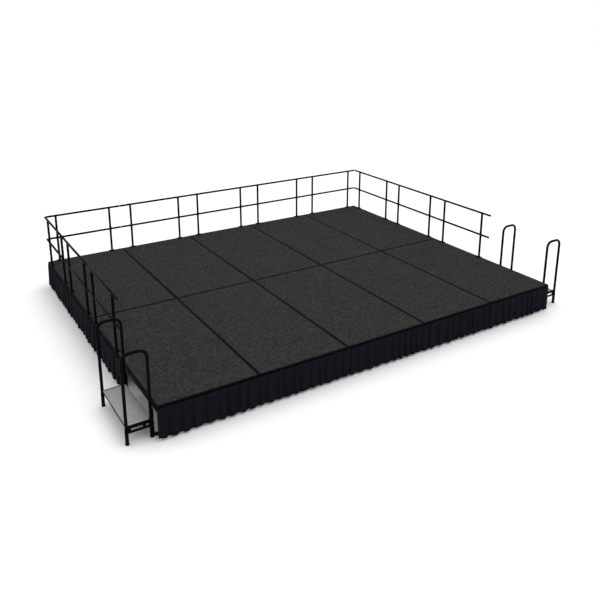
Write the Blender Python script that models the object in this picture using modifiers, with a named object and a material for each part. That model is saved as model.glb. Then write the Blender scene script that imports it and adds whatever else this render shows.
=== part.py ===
"""Portable stage 20 ft wide and 16 ft deep: ten carpeted folding decks, guard rails, two steps and a skirt.

Metres, +Z up, +X to the right of someone facing the stage from the front, -Y towards them.
The origin is on the floor, at the middle of the whole footprint.
"""

import math

import bmesh
import bpy
from mathutils import Matrix

# The decks: ten of 4 ft by 8 ft, five across and two deep.
DECK_WIDTH = 1.2192
DECK_LENGTH = 2.4384
COLUMNS = 5
ROWS = ("front", "back")
STAGE_HEIGHT = 0.4064
DECK_GAP = 0.002
CLEARANCE = 0.0003

# The carpeted board, and the steel frame under it.
BOARD_THICKNESS = 0.0254
BOARD_EDGE_RADIUS = 0.002
FRAME_DEPTH = 0.045
FRAME_BAR = 0.032
FRAME_BAYS = 4

# The folding leg frames: two square-tube legs on a wide foot bar, turning on a round bar between two lugs.
LEG_TUBE = 0.032
LEG_SPREAD = 0.532
LEG_FOOT_REACH = 0.605
LEG_INSET = 0.111
HINGE_BAR_REACH = 0.570
HINGE_DROP = 0.020
HINGE_BAR_RADIUS = 0.016
HINGE_PIN_RADIUS = 0.008
HINGE_PIN_REACH = 0.590
LUG_NEAR = 0.578
LUG_THICKNESS = 0.006
LUG_HALF_WIDTH = 0.019
LUG_HOLE_RADIUS = 0.0105
LUG_BITE = 0.002
HINGE_SIDES = 8

# The guard rails: 4 ft sections that stand on clamp plates at the deck's edge.
RAIL_RADIUS = 0.0160
RAIL_POST_RADIUS = 0.0175
RAIL_SIDES = 10
RAIL_INSET = 0.018
RAIL_SPLIT = 0.015
RAIL_POST_SPACING = 0.8580
RAIL_TOP = 0.7505
RAIL_MIDDLE = 0.3830
RAILS_BACK = 5
RAILS_SIDE = 3
SIDE_RAIL_SHIFT = 0.022
CORNER_CUT = 0.033
PLATE_LENGTH = 0.090
PLATE_THICKNESS = 0.005
PLATE_REACH = 0.062
LIP_THICKNESS = 0.004
LIP_GAP = 0.001
LIP_DROP = 0.020

# The steps: one tread between two tube hoops that are its legs and its handrails.
STEP_RISE = 0.2032
TREAD_THICKNESS = 0.0252
TREAD_WIDTH = 0.270
TREAD_EDGE_RADIUS = 0.003
HOOP_SPACING = 0.845
HOOP_WIDTH = 0.268
HOOP_HEIGHT = 1.030
HOOP_RADIUS = 0.0175
HOOP_BEND = 0.085
HOOP_BEND_STEPS = 6
SLEEVE_RADIUS = 0.020
SLEEVE_SIDES = 12
SLEEVE_TOP = 0.172
CHEEK_LOW = 0.125
CHEEK_TOP = 0.197
CHEEK_THICKNESS = 0.008
SLOT_HALF_HEIGHT = 0.0135
SLOT_Z = 0.1655
LONG_SLOT = (-0.084, 0.046)
SHORT_SLOT = (0.079, 0.106)
SLOT_STEPS = 4
STRUT_NEAR = 0.146
STRUT_FAR = 0.161
STRUT_HALF_DEPTH = 0.012
STRUT_TOP = 0.330
LEDGES = ((-0.112, -0.087), (0.049, 0.076))
LEDGE_REACH = 0.036
LEDGE_THICKNESS = 0.0055
STEP_CENTRE_X = 3.211
STEP_SETBACK = 0.533

# The skirt: a pleated valance on the front and on both sides as far as the steps.
SKIRT_HEM = 0.030
SKIRT_TOP = 0.3795
SKIRT_DEPTH = 0.028
SKIRT_GAP = 0.003

# Sizes that follow from the ones above.
HALF_WIDTH = DECK_WIDTH * COLUMNS / 2
HALF_DEPTH = DECK_LENGTH * len(ROWS) / 2
STAGE_Y = (SKIRT_GAP + SKIRT_DEPTH - LIP_GAP - LIP_THICKNESS) / 2
FRAME_TOP = STAGE_HEIGHT - BOARD_THICKNESS - CLEARANCE
FRAME_BOTTOM = FRAME_TOP - FRAME_DEPTH
HINGE_Z = FRAME_BOTTOM - HINGE_DROP


def make_material(name, colour, roughness, metallic=0.0):
    """Returns a Principled material of one colour."""
    material = bpy.data.materials.new(name)
    material.use_nodes = True
    shader = material.node_tree.nodes["Principled BSDF"]
    shader.inputs["Base Color"].default_value = (*colour, 1.0)
    shader.inputs["Roughness"].default_value = roughness
    shader.inputs["Metallic"].default_value = metallic
    material.diffuse_color = (*colour, 1.0)
    return material


def place(name, mesh, material, collection, location, turn=0.0):
    """Puts a named object with the mesh and the material at a place, turned about the vertical."""
    if not mesh.materials:
        mesh.materials.append(material)
    piece = bpy.data.objects.new(name, mesh)
    piece.location = location
    piece.rotation_euler = (0.0, 0.0, turn)
    collection.objects.link(piece)
    return piece


def box_mesh(name, low, high):
    """A box between two corners."""
    size = [b - a for a, b in zip(low, high)]
    middle = [(a + b) / 2 for a, b in zip(low, high)]
    bm = bmesh.new()
    bmesh.ops.create_cube(bm, size=1.0, matrix=Matrix.Translation(middle) @ Matrix.Diagonal((*size, 1.0)))
    mesh = bpy.data.meshes.new(name)
    bm.to_mesh(mesh)
    bm.free()
    return mesh


def rod_mesh(name, start, end, radius, sides):
    """A round bar along X or Z between two points."""
    along = [b - a for a, b in zip(start, end)]
    length = math.hypot(*along)
    middle = [(a + b) / 2 for a, b in zip(start, end)]
    turn = Matrix.Rotation(math.pi / 2, 4, "Y") if along[0] else Matrix.Identity(4)
    spin = Matrix.Rotation(math.pi / sides, 4, "Z")
    bm = bmesh.new()
    bmesh.ops.create_cone(
        bm,
        cap_ends=True,
        segments=sides,
        radius1=radius,
        radius2=radius,
        depth=length,
        matrix=Matrix.Translation(middle) @ turn @ spin,
    )
    mesh = bpy.data.meshes.new(name)
    bm.to_mesh(mesh)
    bm.free()
    return mesh


def mesh_of(curve_object):
    """Turns a curve object into a mesh with its caps welded, at the curve's place, and removes the curve."""
    bpy.context.view_layer.update()
    evaluated = curve_object.evaluated_get(bpy.context.evaluated_depsgraph_get())
    mesh = bpy.data.meshes.new_from_object(evaluated)
    mesh.transform(curve_object.matrix_world)
    bm = bmesh.new()
    bm.from_mesh(mesh)
    bmesh.ops.remove_doubles(bm, verts=bm.verts, dist=0.00001)
    bmesh.ops.recalc_face_normals(bm, faces=bm.faces)
    bm.to_mesh(mesh)
    bm.free()
    mesh.materials.clear()
    bpy.data.objects.remove(curve_object)
    return mesh


def plate_mesh(name, outlines, thickness, stand=None):
    """A flat plate from closed outlines in its own XY plane, the inner ones holes, moved by a matrix."""
    curve = bpy.data.curves.new(name, "CURVE")
    curve.dimensions = "2D"
    curve.fill_mode = "BOTH"
    curve.extrude = thickness / 2
    curve.render_resolution_u = 0
    for outline in outlines:
        spline = curve.splines.new("POLY")
        spline.points.add(len(outline) - 1)
        for point, (x, y) in zip(spline.points, outline):
            point.co = (x, y, 0.0, 1.0)
        spline.use_cyclic_u = True
    plate = bpy.data.objects.new(name, curve)
    plate.matrix_world = stand or Matrix.Identity(4)
    bpy.context.scene.collection.objects.link(plate)
    return mesh_of(plate)


def tube_mesh(name, route, radius, bevel_resolution):
    """A round tube along a route of points, with closed ends."""
    curve = bpy.data.curves.new(name, "CURVE")
    curve.dimensions = "3D"
    curve.bevel_depth = radius
    curve.bevel_resolution = bevel_resolution
    curve.use_fill_caps = True
    curve.render_resolution_u = 0
    spline = curve.splines.new("POLY")
    spline.points.add(len(route) - 1)
    for point, spot in zip(spline.points, route):
        point.co = (*spot, 1.0)
    tube = bpy.data.objects.new(name, curve)
    bpy.context.scene.collection.objects.link(tube)
    return mesh_of(tube)


def welded(name, meshes):
    """One mesh that is the Boolean union of several solids."""
    scene = bpy.context.scene
    others = bpy.data.collections.new(name + "_others")
    scene.collection.children.link(others)
    pieces = [bpy.data.objects.new(mesh.name, mesh) for mesh in meshes]
    scene.collection.objects.link(pieces[0])
    for piece in pieces[1:]:
        others.objects.link(piece)
    union = pieces[0].modifiers.new("union", "BOOLEAN")
    union.operation = "UNION"
    union.solver = "EXACT"
    union.operand_type = "COLLECTION"
    union.collection = others
    bpy.context.view_layer.update()
    evaluated = pieces[0].evaluated_get(bpy.context.evaluated_depsgraph_get())
    mesh = bpy.data.meshes.new_from_object(evaluated)
    mesh.name = name
    mesh.materials.clear()
    for piece in pieces:
        bpy.data.objects.remove(piece)
    bpy.data.collections.remove(others)
    return mesh


def round_shading(mesh):
    """Shades a mesh smooth, with its edges over 40 degrees kept sharp."""
    mesh.shade_smooth()
    mesh.set_sharp_from_angle(angle=math.radians(40))
    return mesh


def soften(piece, width):
    """Rounds a box's edges a little."""
    bevel = piece.modifiers.new("edge", "BEVEL")
    bevel.width = width
    bevel.segments = 1
    bevel.limit_method = "NONE"


def rectangle(x0, y0, x1, y1):
    """The corners of a rectangle."""
    return [(x0, y0), (x1, y0), (x1, y1), (x0, y1)]


def ring(radius, sides):
    """The corners of a regular outline about the origin, with a flat side down."""
    step = 2 * math.pi / sides
    return [(radius * math.cos((i + 0.5) * step), radius * math.sin((i + 0.5) * step)) for i in range(sides)]


def lug_mesh(x, y):
    """A hinge lug: an upright plate across X, with a round foot and a hole on the hinge axis."""
    top = FRAME_BOTTOM + LUG_BITE - HINGE_Z
    arc = [math.pi * (1 + i / 4) for i in range(5)]
    foot = [(LUG_HALF_WIDTH * math.cos(a), LUG_HALF_WIDTH * math.sin(a)) for a in arc]
    outline = [(-LUG_HALF_WIDTH, top), *foot, (LUG_HALF_WIDTH, top)]
    upright = Matrix.Rotation(math.pi / 2, 4, "Z") @ Matrix.Rotation(math.pi / 2, 4, "X")
    stand = Matrix.Translation((x, y, HINGE_Z)) @ upright
    return plate_mesh("lug", [outline, ring(LUG_HOLE_RADIUS, HINGE_SIDES)], LUG_THICKNESS, stand)


def deck_frame_mesh():
    """The steel frame under a board: four sides, cross bars between the bays, and four hinge lugs."""
    half_x = (DECK_WIDTH - DECK_GAP) / 2
    half_y = (DECK_LENGTH - DECK_GAP) / 2
    inner_x = half_x - FRAME_BAR
    bay = (2 * half_y - FRAME_BAR * (FRAME_BAYS + 1)) / FRAME_BAYS
    starts = [-half_y + FRAME_BAR + i * (bay + FRAME_BAR) for i in range(FRAME_BAYS)]
    outlines = [rectangle(-half_x, -half_y, half_x, half_y)]
    outlines += [rectangle(-inner_x, y, inner_x, y + bay) for y in starts]
    level = Matrix.Translation((0.0, 0.0, (FRAME_TOP + FRAME_BOTTOM) / 2))
    ladder = plate_mesh("ladder", outlines, FRAME_DEPTH, level)
    lug_x = LUG_NEAR + LUG_THICKNESS / 2
    lug_y = DECK_LENGTH / 2 - LEG_INSET
    lugs = [lug_mesh(x, y) for x in (-lug_x, lug_x) for y in (-lug_y, lug_y)]
    return welded("deck_frame", [ladder, *lugs])


def leg_frame_mesh():
    """A folding leg frame about its hinge axis: two legs on a foot bar, a round bar across, and two pins."""
    outer = LEG_SPREAD
    inner = LEG_SPREAD - LEG_TUBE
    foot = LEG_FOOT_REACH
    floor = -HINGE_Z
    ankle = LEG_TUBE - HINGE_Z
    outline = [
        (-outer, 0.0),
        (-outer, ankle),
        (-foot, ankle),
        (-foot, floor),
        (foot, floor),
        (foot, ankle),
        (outer, ankle),
        (outer, 0.0),
        (inner, 0.0),
        (inner, ankle),
        (-inner, ankle),
        (-inner, 0.0),
    ]
    upright = Matrix.Rotation(math.pi / 2, 4, "X")
    legs = plate_mesh("legs", [outline], LEG_TUBE, upright)
    reach = HINGE_BAR_REACH
    bar = rod_mesh("bar", (-reach, 0.0, 0.0), (reach, 0.0, 0.0), HINGE_BAR_RADIUS, HINGE_SIDES)
    pins = [
        rod_mesh("pin", (a, 0.0, 0.0), (b, 0.0, 0.0), HINGE_PIN_RADIUS, HINGE_SIDES)
        for a, b in ((-HINGE_PIN_REACH, -reach + LUG_BITE), (reach - LUG_BITE, HINGE_PIN_REACH))
    ]
    return welded("leg_frame", [legs, bar, *pins])


def guard_rail_mesh(cut_left=0.0, cut_right=0.0):
    """A guard rail section along X, the deck's edge on its +Y side, its rails cut short for a corner."""
    half = (DECK_WIDTH - RAIL_SPLIT) / 2
    left, right = cut_left - half, half - cut_right
    post_x = RAIL_POST_SPACING / 2
    plate_low = STAGE_HEIGHT + CLEARANCE
    plate_top = plate_low + PLATE_THICKNESS
    edge = RAIL_INSET + LIP_GAP
    rails = [
        rod_mesh("rail", (left, 0.0, z), (right, 0.0, z), RAIL_RADIUS, RAIL_SIDES)
        for z in (STAGE_HEIGHT + RAIL_TOP, STAGE_HEIGHT + RAIL_MIDDLE)
    ]
    feet = []
    for x in (-post_x, post_x):
        foot_z = plate_low + PLATE_THICKNESS / 2
        post_top = (x, 0.0, STAGE_HEIGHT + RAIL_TOP)
        feet.append(rod_mesh("post", (x, 0.0, foot_z), post_top, RAIL_POST_RADIUS, RAIL_SIDES))
        inner = edge - PLATE_REACH
        outline = [
            (inner, plate_low),
            (edge, plate_low),
            (edge, STAGE_HEIGHT - LIP_DROP),
            (edge + LIP_THICKNESS, STAGE_HEIGHT - LIP_DROP),
            (edge + LIP_THICKNESS, plate_top),
            (inner, plate_top),
        ]
        across = Matrix.Translation((x, 0.0, 0.0)) @ Matrix.Rotation(math.pi / 2, 4, "Z")
        upright = across @ Matrix.Rotation(math.pi / 2, 4, "X")
        feet.append(plate_mesh("foot", [outline], PLATE_LENGTH, upright))
    return round_shading(welded("guard_rail", [*rails, *feet]))


def hoop_route():
    """The centre line of a hoop: up one leg, round two bends and down the other leg, across X."""
    half = HOOP_WIDTH / 2
    corner_x = half - HOOP_BEND
    corner_z = HOOP_HEIGHT - HOOP_BEND
    turns = [math.pi - math.pi / 2 * i / HOOP_BEND_STEPS for i in range(HOOP_BEND_STEPS + 1)]
    left = [(-corner_x + HOOP_BEND * math.cos(a), 0.0, corner_z + HOOP_BEND * math.sin(a)) for a in turns]
    right = [(-x, y, z) for x, y, z in reversed(left)]
    foot_z = (CHEEK_LOW + SLEEVE_TOP) / 2
    return [(-half, 0.0, foot_z), *left, *right, (half, 0.0, foot_z)]


def slot(start, end):
    """The outline of a slot with round ends, at the slots' height."""
    radius = SLOT_HALF_HEIGHT
    right = [math.pi * (i / SLOT_STEPS - 0.5) for i in range(SLOT_STEPS + 1)]
    left = [a + math.pi for a in right]
    points = [(end - radius + radius * math.cos(a), SLOT_Z + radius * math.sin(a)) for a in right]
    return points + [(start + radius + radius * math.cos(a), SLOT_Z + radius * math.sin(a)) for a in left]


def cheek_mesh(stage_side):
    """The cross plate of an end frame, its short slot towards the stage and its long slot away from it."""
    half = HOOP_WIDTH / 2
    slots = [slot(*sorted((stage_side * a, stage_side * b))) for a, b in (LONG_SLOT, SHORT_SLOT)]
    upright = Matrix.Rotation(math.pi / 2, 4, "X")
    outlines = [rectangle(-half, CHEEK_LOW, half, CHEEK_TOP), *slots]
    return plate_mesh("cheek", outlines, CHEEK_THICKNESS, upright)


def end_frame_mesh(stage_side):
    """One end of a step, across X: a hoop in two sleeves, a slotted plate, two ledges and a strut."""
    half = HOOP_WIDTH / 2
    hoop = tube_mesh("hoop", hoop_route(), HOOP_RADIUS, 3)
    sleeves = [
        rod_mesh("sleeve", (x, 0.0, 0.0), (x, 0.0, SLEEVE_TOP), SLEEVE_RADIUS, SLEEVE_SIDES)
        for x in (-half, half)
    ]
    ledge_top = STEP_RISE - TREAD_THICKNESS - CLEARANCE
    ledge_inner = CHEEK_THICKNESS / 2 + LEDGE_REACH
    ledges = []
    for ends in LEDGES:
        start, end = sorted(stage_side * x for x in ends)
        low = (start, 0.0, ledge_top - LEDGE_THICKNESS)
        ledges.append(box_mesh("ledge", low, (end, ledge_inner, ledge_top)))
    strut_x = sorted((stage_side * STRUT_NEAR, stage_side * STRUT_FAR))
    strut = box_mesh("strut", (strut_x[0], -STRUT_HALF_DEPTH, 0.0), (strut_x[1], STRUT_HALF_DEPTH, STRUT_TOP))
    return round_shading(welded("step_end_frame", [hoop, *sleeves, cheek_mesh(stage_side), *ledges, strut]))


def make_decks(parts, carpet, steel):
    """The ten decks: a board, a frame and two folding leg frames each."""
    half_x = (DECK_WIDTH - DECK_GAP) / 2
    half_y = (DECK_LENGTH - DECK_GAP) / 2
    board = box_mesh(
        "deck_board",
        (-half_x, -half_y, STAGE_HEIGHT - BOARD_THICKNESS),
        (half_x, half_y, STAGE_HEIGHT),
    )
    frame = deck_frame_mesh()
    leg_frame = leg_frame_mesh()
    for row, row_name in enumerate(ROWS):
        for column in range(COLUMNS):
            x = (column + 0.5) * DECK_WIDTH - HALF_WIDTH
            y = STAGE_Y + (row + 0.5) * DECK_LENGTH - HALF_DEPTH
            deck = f"{row_name}_{column + 1}"
            soften(place(f"deck_board_{deck}", board, carpet, parts, (x, y, 0.0)), BOARD_EDGE_RADIUS)
            place(f"deck_frame_{deck}", frame, steel, parts, (x, y, 0.0))
            for end, side, turn in (("near", -1, 0.0), ("far", 1, math.pi)):
                hinge_y = y + side * (DECK_LENGTH / 2 - LEG_INSET)
                place(f"leg_frame_{deck}_{end}", leg_frame, steel, parts, (x, hinge_y, HINGE_Z), turn)


def make_guard_rails(parts, steel):
    """Five sections along the back edge, cut short at both corners, and three along each side."""
    section = guard_rail_mesh()
    left_corner = guard_rail_mesh(cut_left=CORNER_CUT)
    right_corner = guard_rail_mesh(cut_right=CORNER_CUT)
    back_sections = [left_corner, *[section] * (RAILS_BACK - 2), right_corner]
    back_y = STAGE_Y + HALF_DEPTH - RAIL_INSET
    for i, back_section in enumerate(back_sections):
        x = (i + 0.5) * DECK_WIDTH - HALF_WIDTH
        place(f"guard_rail_back_{i + 1}", back_section, steel, parts, (x, back_y, 0.0))
    for side_name, side in (("left", -1), ("right", 1)):
        for i in range(RAILS_SIDE):
            x = side * (HALF_WIDTH - RAIL_INSET)
            y = STAGE_Y + HALF_DEPTH - SIDE_RAIL_SHIFT - (i + 0.5) * DECK_WIDTH
            place(f"guard_rail_{side_name}_{i + 1}", section, steel, parts, (x, y, 0.0), -side * math.pi / 2)


def make_steps(parts, grey, steel):
    """A step on each side, beside the front 4 ft of the stage."""
    tread_half = HOOP_SPACING / 2 - SLEEVE_RADIUS - 0.001
    tread = box_mesh(
        "step_tread",
        (-TREAD_WIDTH / 2, -tread_half, STEP_RISE - TREAD_THICKNESS),
        (TREAD_WIDTH / 2, tread_half, STEP_RISE),
    )
    end_frames = {stage_side: end_frame_mesh(stage_side) for stage_side in (-1, 1)}
    y = STAGE_Y - HALF_DEPTH + STEP_SETBACK
    for side_name, side in (("left", -1), ("right", 1)):
        x = side * STEP_CENTRE_X
        soften(place(f"{side_name}_step_tread", tread, grey, parts, (x, y, 0.0)), TREAD_EDGE_RADIUS)
        near = y - HOOP_SPACING / 2
        far = y + HOOP_SPACING / 2
        place(f"{side_name}_step_end_frame_near", end_frames[-side], steel, parts, (x, near, 0.0))
        place(f"{side_name}_step_end_frame_far", end_frames[side], steel, parts, (x, far, 0.0), math.pi)


def make_skirts(parts, cloth):
    """The skirt's three runs, each a slab of the pleats' full depth."""
    front_y = STAGE_Y - HALF_DEPTH - SKIRT_GAP
    front_low = (-HALF_WIDTH, front_y - SKIRT_DEPTH, SKIRT_HEM)
    front = box_mesh("skirt_front", front_low, (HALF_WIDTH, front_y, SKIRT_TOP))
    place("skirt_front", front, cloth, parts, (0.0, 0.0, 0.0))
    back_y = STAGE_Y + HALF_DEPTH
    end_y = back_y - RAILS_SIDE * DECK_WIDTH
    face = HALF_WIDTH + SKIRT_GAP
    for side_name, inner, outer in (
        ("left", -face, -face - SKIRT_DEPTH),
        ("right", face, face + SKIRT_DEPTH),
    ):
        low = (min(inner, outer), end_y, SKIRT_HEM)
        high = (max(inner, outer), back_y, SKIRT_TOP)
        side_run = box_mesh(f"skirt_{side_name}", low, high)
        place(f"skirt_{side_name}", side_run, cloth, parts, (0.0, 0.0, 0.0))


def main():
    """Clears the scene and builds the stage."""
    for piece in list(bpy.data.objects):
        bpy.data.objects.remove(piece)
    parts = bpy.data.collections.new("portable_stage")
    bpy.context.scene.collection.children.link(parts)
    carpet = make_material("charcoal_carpet", (0.034, 0.034, 0.033), 0.95)
    steel = make_material("black_powder_coat", (0.008, 0.008, 0.008), 0.45, 0.3)
    grey = make_material("grey_tread", (0.33, 0.33, 0.33), 0.7)
    cloth = make_material("dark_skirt_cloth", (0.008, 0.008, 0.014), 0.9)
    make_decks(parts, carpet, steel)
    make_guard_rails(parts, steel)
    make_steps(parts, grey, steel)
    make_skirts(parts, cloth)


main()
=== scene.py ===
"""Portable stage set: ten carpeted folding decks, guard rails, two steps and a pleated skirt.

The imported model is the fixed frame, in metres: +Z up, +X to the right of someone facing the
stage, -Y towards them.  Each class is one sub-assembly.  Its fields are its sizes, and its
build method makes the pieces, dresses them in a finish and hands them to the body they ride on.
"""

from __future__ import annotations

import logging
import math
import random
from collections.abc import Iterable, Mapping, Sequence
from dataclasses import dataclass, field
from enum import Enum
from typing import Any

import bmesh
import bpy
from mathutils import Matrix, Vector


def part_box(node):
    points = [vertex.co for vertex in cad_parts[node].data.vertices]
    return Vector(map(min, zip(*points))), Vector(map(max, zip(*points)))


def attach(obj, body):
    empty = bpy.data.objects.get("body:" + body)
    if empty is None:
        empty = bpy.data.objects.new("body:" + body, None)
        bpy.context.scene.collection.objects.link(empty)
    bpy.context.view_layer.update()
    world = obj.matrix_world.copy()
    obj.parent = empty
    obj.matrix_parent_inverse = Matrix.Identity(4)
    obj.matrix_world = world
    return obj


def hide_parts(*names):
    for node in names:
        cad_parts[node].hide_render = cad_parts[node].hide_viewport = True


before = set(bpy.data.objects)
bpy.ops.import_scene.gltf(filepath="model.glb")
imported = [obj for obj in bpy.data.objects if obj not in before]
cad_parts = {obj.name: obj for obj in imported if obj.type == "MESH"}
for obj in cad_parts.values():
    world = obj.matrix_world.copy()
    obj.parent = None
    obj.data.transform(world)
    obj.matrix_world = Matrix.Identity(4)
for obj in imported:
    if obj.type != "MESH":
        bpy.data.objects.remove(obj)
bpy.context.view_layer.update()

LOG = logging.getLogger("portable_stage")
MILLIMETRE = 0.001
COLUMNS = 5
ROWS = ("front", "back")
LEG_ENDS = ("near", "far")
SMOOTH_UNDER = math.radians(38)

Point = Sequence[float]


class Slot(Enum):
    """The record's material slots."""

    CARPET = "charcoal_carpet"
    STEEL = "black_powder_coat"
    TREAD = "grey_tread"
    CLOTH = "dark_skirt_cloth"
    TRIM = "black_edge_trim"
    RUBBER = "black_rubber"
    ZINC = "zinc_plated_steel"


class Side(Enum):
    """A side of the stage, with the sign of X on that side."""

    LEFT = -1
    RIGHT = 1

    @property
    def word(self) -> str:
        """The side's name in lower case."""
        return self.name.lower()


def linear(hex_colour: str) -> tuple[float, float, float, float]:
    """Turns an sRGB hex colour to linear.

    Args:
        hex_colour: A colour such as "#1a1a1c".

    Returns:
        Red, green, blue and an alpha of one.
    """
    parts = [int(hex_colour[i : i + 2], 16) / 255 for i in (1, 3, 5)]
    red, green, blue = (c / 12.92 if c <= 0.04045 else ((c + 0.055) / 1.055) ** 2.4 for c in parts)
    return red, green, blue, 1.0


def per_metre(size_mm: float) -> float:
    """The scale of a pattern whose features are this many millimetres apart."""
    return 1.0 / (size_mm * MILLIMETRE)


def add_node(
    tree: bpy.types.NodeTree,
    kind: str,
    inputs: Mapping[str | int, Any] | None = None,
    **settings: Any,
) -> bpy.types.Node:
    """Adds a node with its settings and links.

    Args:
        tree: The material's node tree.
        kind: The node's type, such as "ShaderNodeTexNoise".
        inputs: What goes into each input: another node's output, or a value.
        settings: The node's own properties.

    Returns:
        The new node.
    """
    node = tree.nodes.new(kind)
    for name, value in settings.items():
        setattr(node, name, value)
    for socket, value in (inputs or {}).items():
        if isinstance(value, bpy.types.NodeSocket):
            tree.links.new(value, node.inputs[socket])
        else:
            node.inputs[socket].default_value = value
    return node


# ---------------------------------------------------------------------------------------------
# Finishes
# ---------------------------------------------------------------------------------------------


@dataclass(frozen=True)
class Finish:
    """A surface treatment: the material's name, its slot in the record, and its nodes."""

    name: str
    slot: Slot | None

    def material(self) -> bpy.types.Material:
        """Returns the material, made the first time it is asked for."""
        found = bpy.data.materials.get(self.name)
        if found is not None:
            return found
        made = bpy.data.materials.new(self.name)
        made.use_nodes = True
        self.paint(made.node_tree, made.node_tree.nodes["Principled BSDF"])
        return made

    def paint(self, tree: bpy.types.NodeTree, shader: bpy.types.Node) -> None:
        """Builds the nodes behind the shader.

        Args:
            tree: The material's node tree.
            shader: Its Principled node.
        """
        raise NotImplementedError


@dataclass(frozen=True)
class NeedlePunchCarpet(Finish):
    """Needle-punched heather carpet: a matt felt of dark and light fibres with no shine at all."""

    dark: str = "#1b1b1b"
    light: str = "#373737"
    fleck: str = "#454544"
    # A tuft is about 2 mm across, too fine to show, so the tufts are drawn twice that.
    tuft_mm: float = 4.5
    # The heather's clumps of one shade of fibre, drawn a little coarser so that they show.
    clump_mm: float = 22.0
    # Slow changes of shade from one roll width to the next.
    shade_mm: float = 420.0

    def paint(self, tree: bpy.types.NodeTree, shader: bpy.types.Node) -> None:
        """Builds tufts, clumps, flecks and slow shading.

        Args:
            tree: The material's node tree.
            shader: Its Principled node.
        """
        place = add_node(tree, "ShaderNodeTexCoord").outputs["Object"]
        tuft = add_node(
            tree,
            "ShaderNodeTexNoise",
            {"Vector": place, "Scale": per_metre(self.tuft_mm), "Detail": 2.0, "Roughness": 0.7},
        )
        clump = add_node(
            tree,
            "ShaderNodeTexNoise",
            {"Vector": place, "Scale": per_metre(self.clump_mm), "Detail": 3.0, "Roughness": 0.65},
        )
        shade = add_node(
            tree,
            "ShaderNodeTexNoise",
            {"Vector": place, "Scale": per_metre(self.shade_mm), "Detail": 2.0},
        )
        mixed = add_node(
            tree,
            "ShaderNodeMath",
            {0: tuft.outputs["Fac"], 1: 0.35, 2: clump.outputs["Fac"]},
            operation="MULTIPLY_ADD",
        )
        tone = add_node(
            tree,
            "ShaderNodeMapRange",
            {"Value": mixed.outputs[0], "From Min": 0.50, "From Max": 0.85},
        )
        heather = add_node(
            tree,
            "ShaderNodeMix",
            {0: tone.outputs[0], 6: linear(self.dark), 7: linear(self.light)},
            data_type="RGBA",
        )
        flecked = add_node(
            tree,
            "ShaderNodeMapRange",
            {"Value": clump.outputs["Fac"], "From Min": 0.60, "From Max": 0.70, "To Max": 0.6},
        )
        fleck = add_node(
            tree,
            "ShaderNodeMix",
            {0: flecked.outputs[0], 6: heather.outputs[2], 7: linear(self.fleck)},
            data_type="RGBA",
        )
        shading = add_node(
            tree,
            "ShaderNodeMapRange",
            {"Value": shade.outputs["Fac"], "From Min": 0.3, "From Max": 0.7, "To Min": 0.95, "To Max": 1.05},
        )
        worn = add_node(
            tree,
            "ShaderNodeVectorMath",
            {0: fleck.outputs[2], "Scale": shading.outputs[0]},
            operation="SCALE",
        )
        tree.links.new(worn.outputs[0], shader.inputs["Base Color"])
        rough = add_node(
            tree,
            "ShaderNodeMapRange",
            {"Value": tuft.outputs["Fac"], "To Min": 0.90, "To Max": 1.0},
        )
        tree.links.new(rough.outputs[0], shader.inputs["Roughness"])
        bump = add_node(
            tree,
            "ShaderNodeBump",
            {"Height": mixed.outputs[0], "Strength": 0.8, "Distance": 2.0 * MILLIMETRE},
        )
        tree.links.new(bump.outputs[0], shader.inputs["Normal"])
        shader.inputs["Specular IOR Level"].default_value = 0.04


@dataclass(frozen=True)
class MattPowderCoat(Finish):
    """Matt black polyester powder coat on steel: deep, even, faintly pebbled, with hardly any gleam."""

    dark: str = "#030303"
    light: str = "#070708"
    dust: str = "#161615"
    # The pebble of a sprayed and baked powder.
    pebble_mm: float = 1.8
    # Slow changes in the coat's build.
    build_mm: float = 60.0
    # A patchy lighter grey is painted on the coat this far up from the floor.
    dusty_mm: float = 60.0

    def paint(self, tree: bpy.types.NodeTree, shader: bpy.types.Node) -> None:
        """Builds the coat's tone, its pebble, and a patchy lighter grey painted near the floor.

        Args:
            tree: The material's node tree.
            shader: Its Principled node.
        """
        place = add_node(tree, "ShaderNodeTexCoord").outputs["Object"]
        build = add_node(
            tree,
            "ShaderNodeTexNoise",
            {"Vector": place, "Scale": per_metre(self.build_mm), "Detail": 3.0},
        )
        coat = add_node(
            tree,
            "ShaderNodeMix",
            {0: build.outputs["Fac"], 6: linear(self.dark), 7: linear(self.light)},
            data_type="RGBA",
        )
        # A patchy lighter grey is painted on the coat near the floor. The mask scuff is half strength at the
        # floor, fades to nothing 60 mm up, and is broken up by the build noise.
        height = add_node(tree, "ShaderNodeSeparateXYZ", {"Vector": place})
        low = add_node(
            tree,
            "ShaderNodeMapRange",
            {
                "Value": height.outputs["Z"],
                "From Max": self.dusty_mm * MILLIMETRE,
                "To Min": 0.5,
                "To Max": 0.0,
            },
        )
        scuff = add_node(
            tree,
            "ShaderNodeMath",
            {0: low.outputs[0], 1: build.outputs["Fac"]},
            operation="MULTIPLY",
        )
        near_floor_coat = add_node(
            tree,
            "ShaderNodeMix",
            {0: scuff.outputs[0], 6: coat.outputs[2], 7: linear(self.dust)},
            data_type="RGBA",
        )
        tree.links.new(near_floor_coat.outputs[2], shader.inputs["Base Color"])
        pebble = add_node(
            tree,
            "ShaderNodeTexNoise",
            {"Vector": place, "Scale": per_metre(self.pebble_mm), "Detail": 1.0},
        )
        rough = add_node(
            tree,
            "ShaderNodeMapRange",
            {"Value": build.outputs["Fac"], "To Min": 0.46, "To Max": 0.60},
        )
        tree.links.new(rough.outputs[0], shader.inputs["Roughness"])
        bump = add_node(
            tree,
            "ShaderNodeBump",
            {"Height": pebble.outputs["Fac"], "Strength": 0.35, "Distance": 0.1 * MILLIMETRE},
        )
        tree.links.new(bump.outputs[0], shader.inputs["Normal"])
        shader.inputs["Specular IOR Level"].default_value = 0.03


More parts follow.
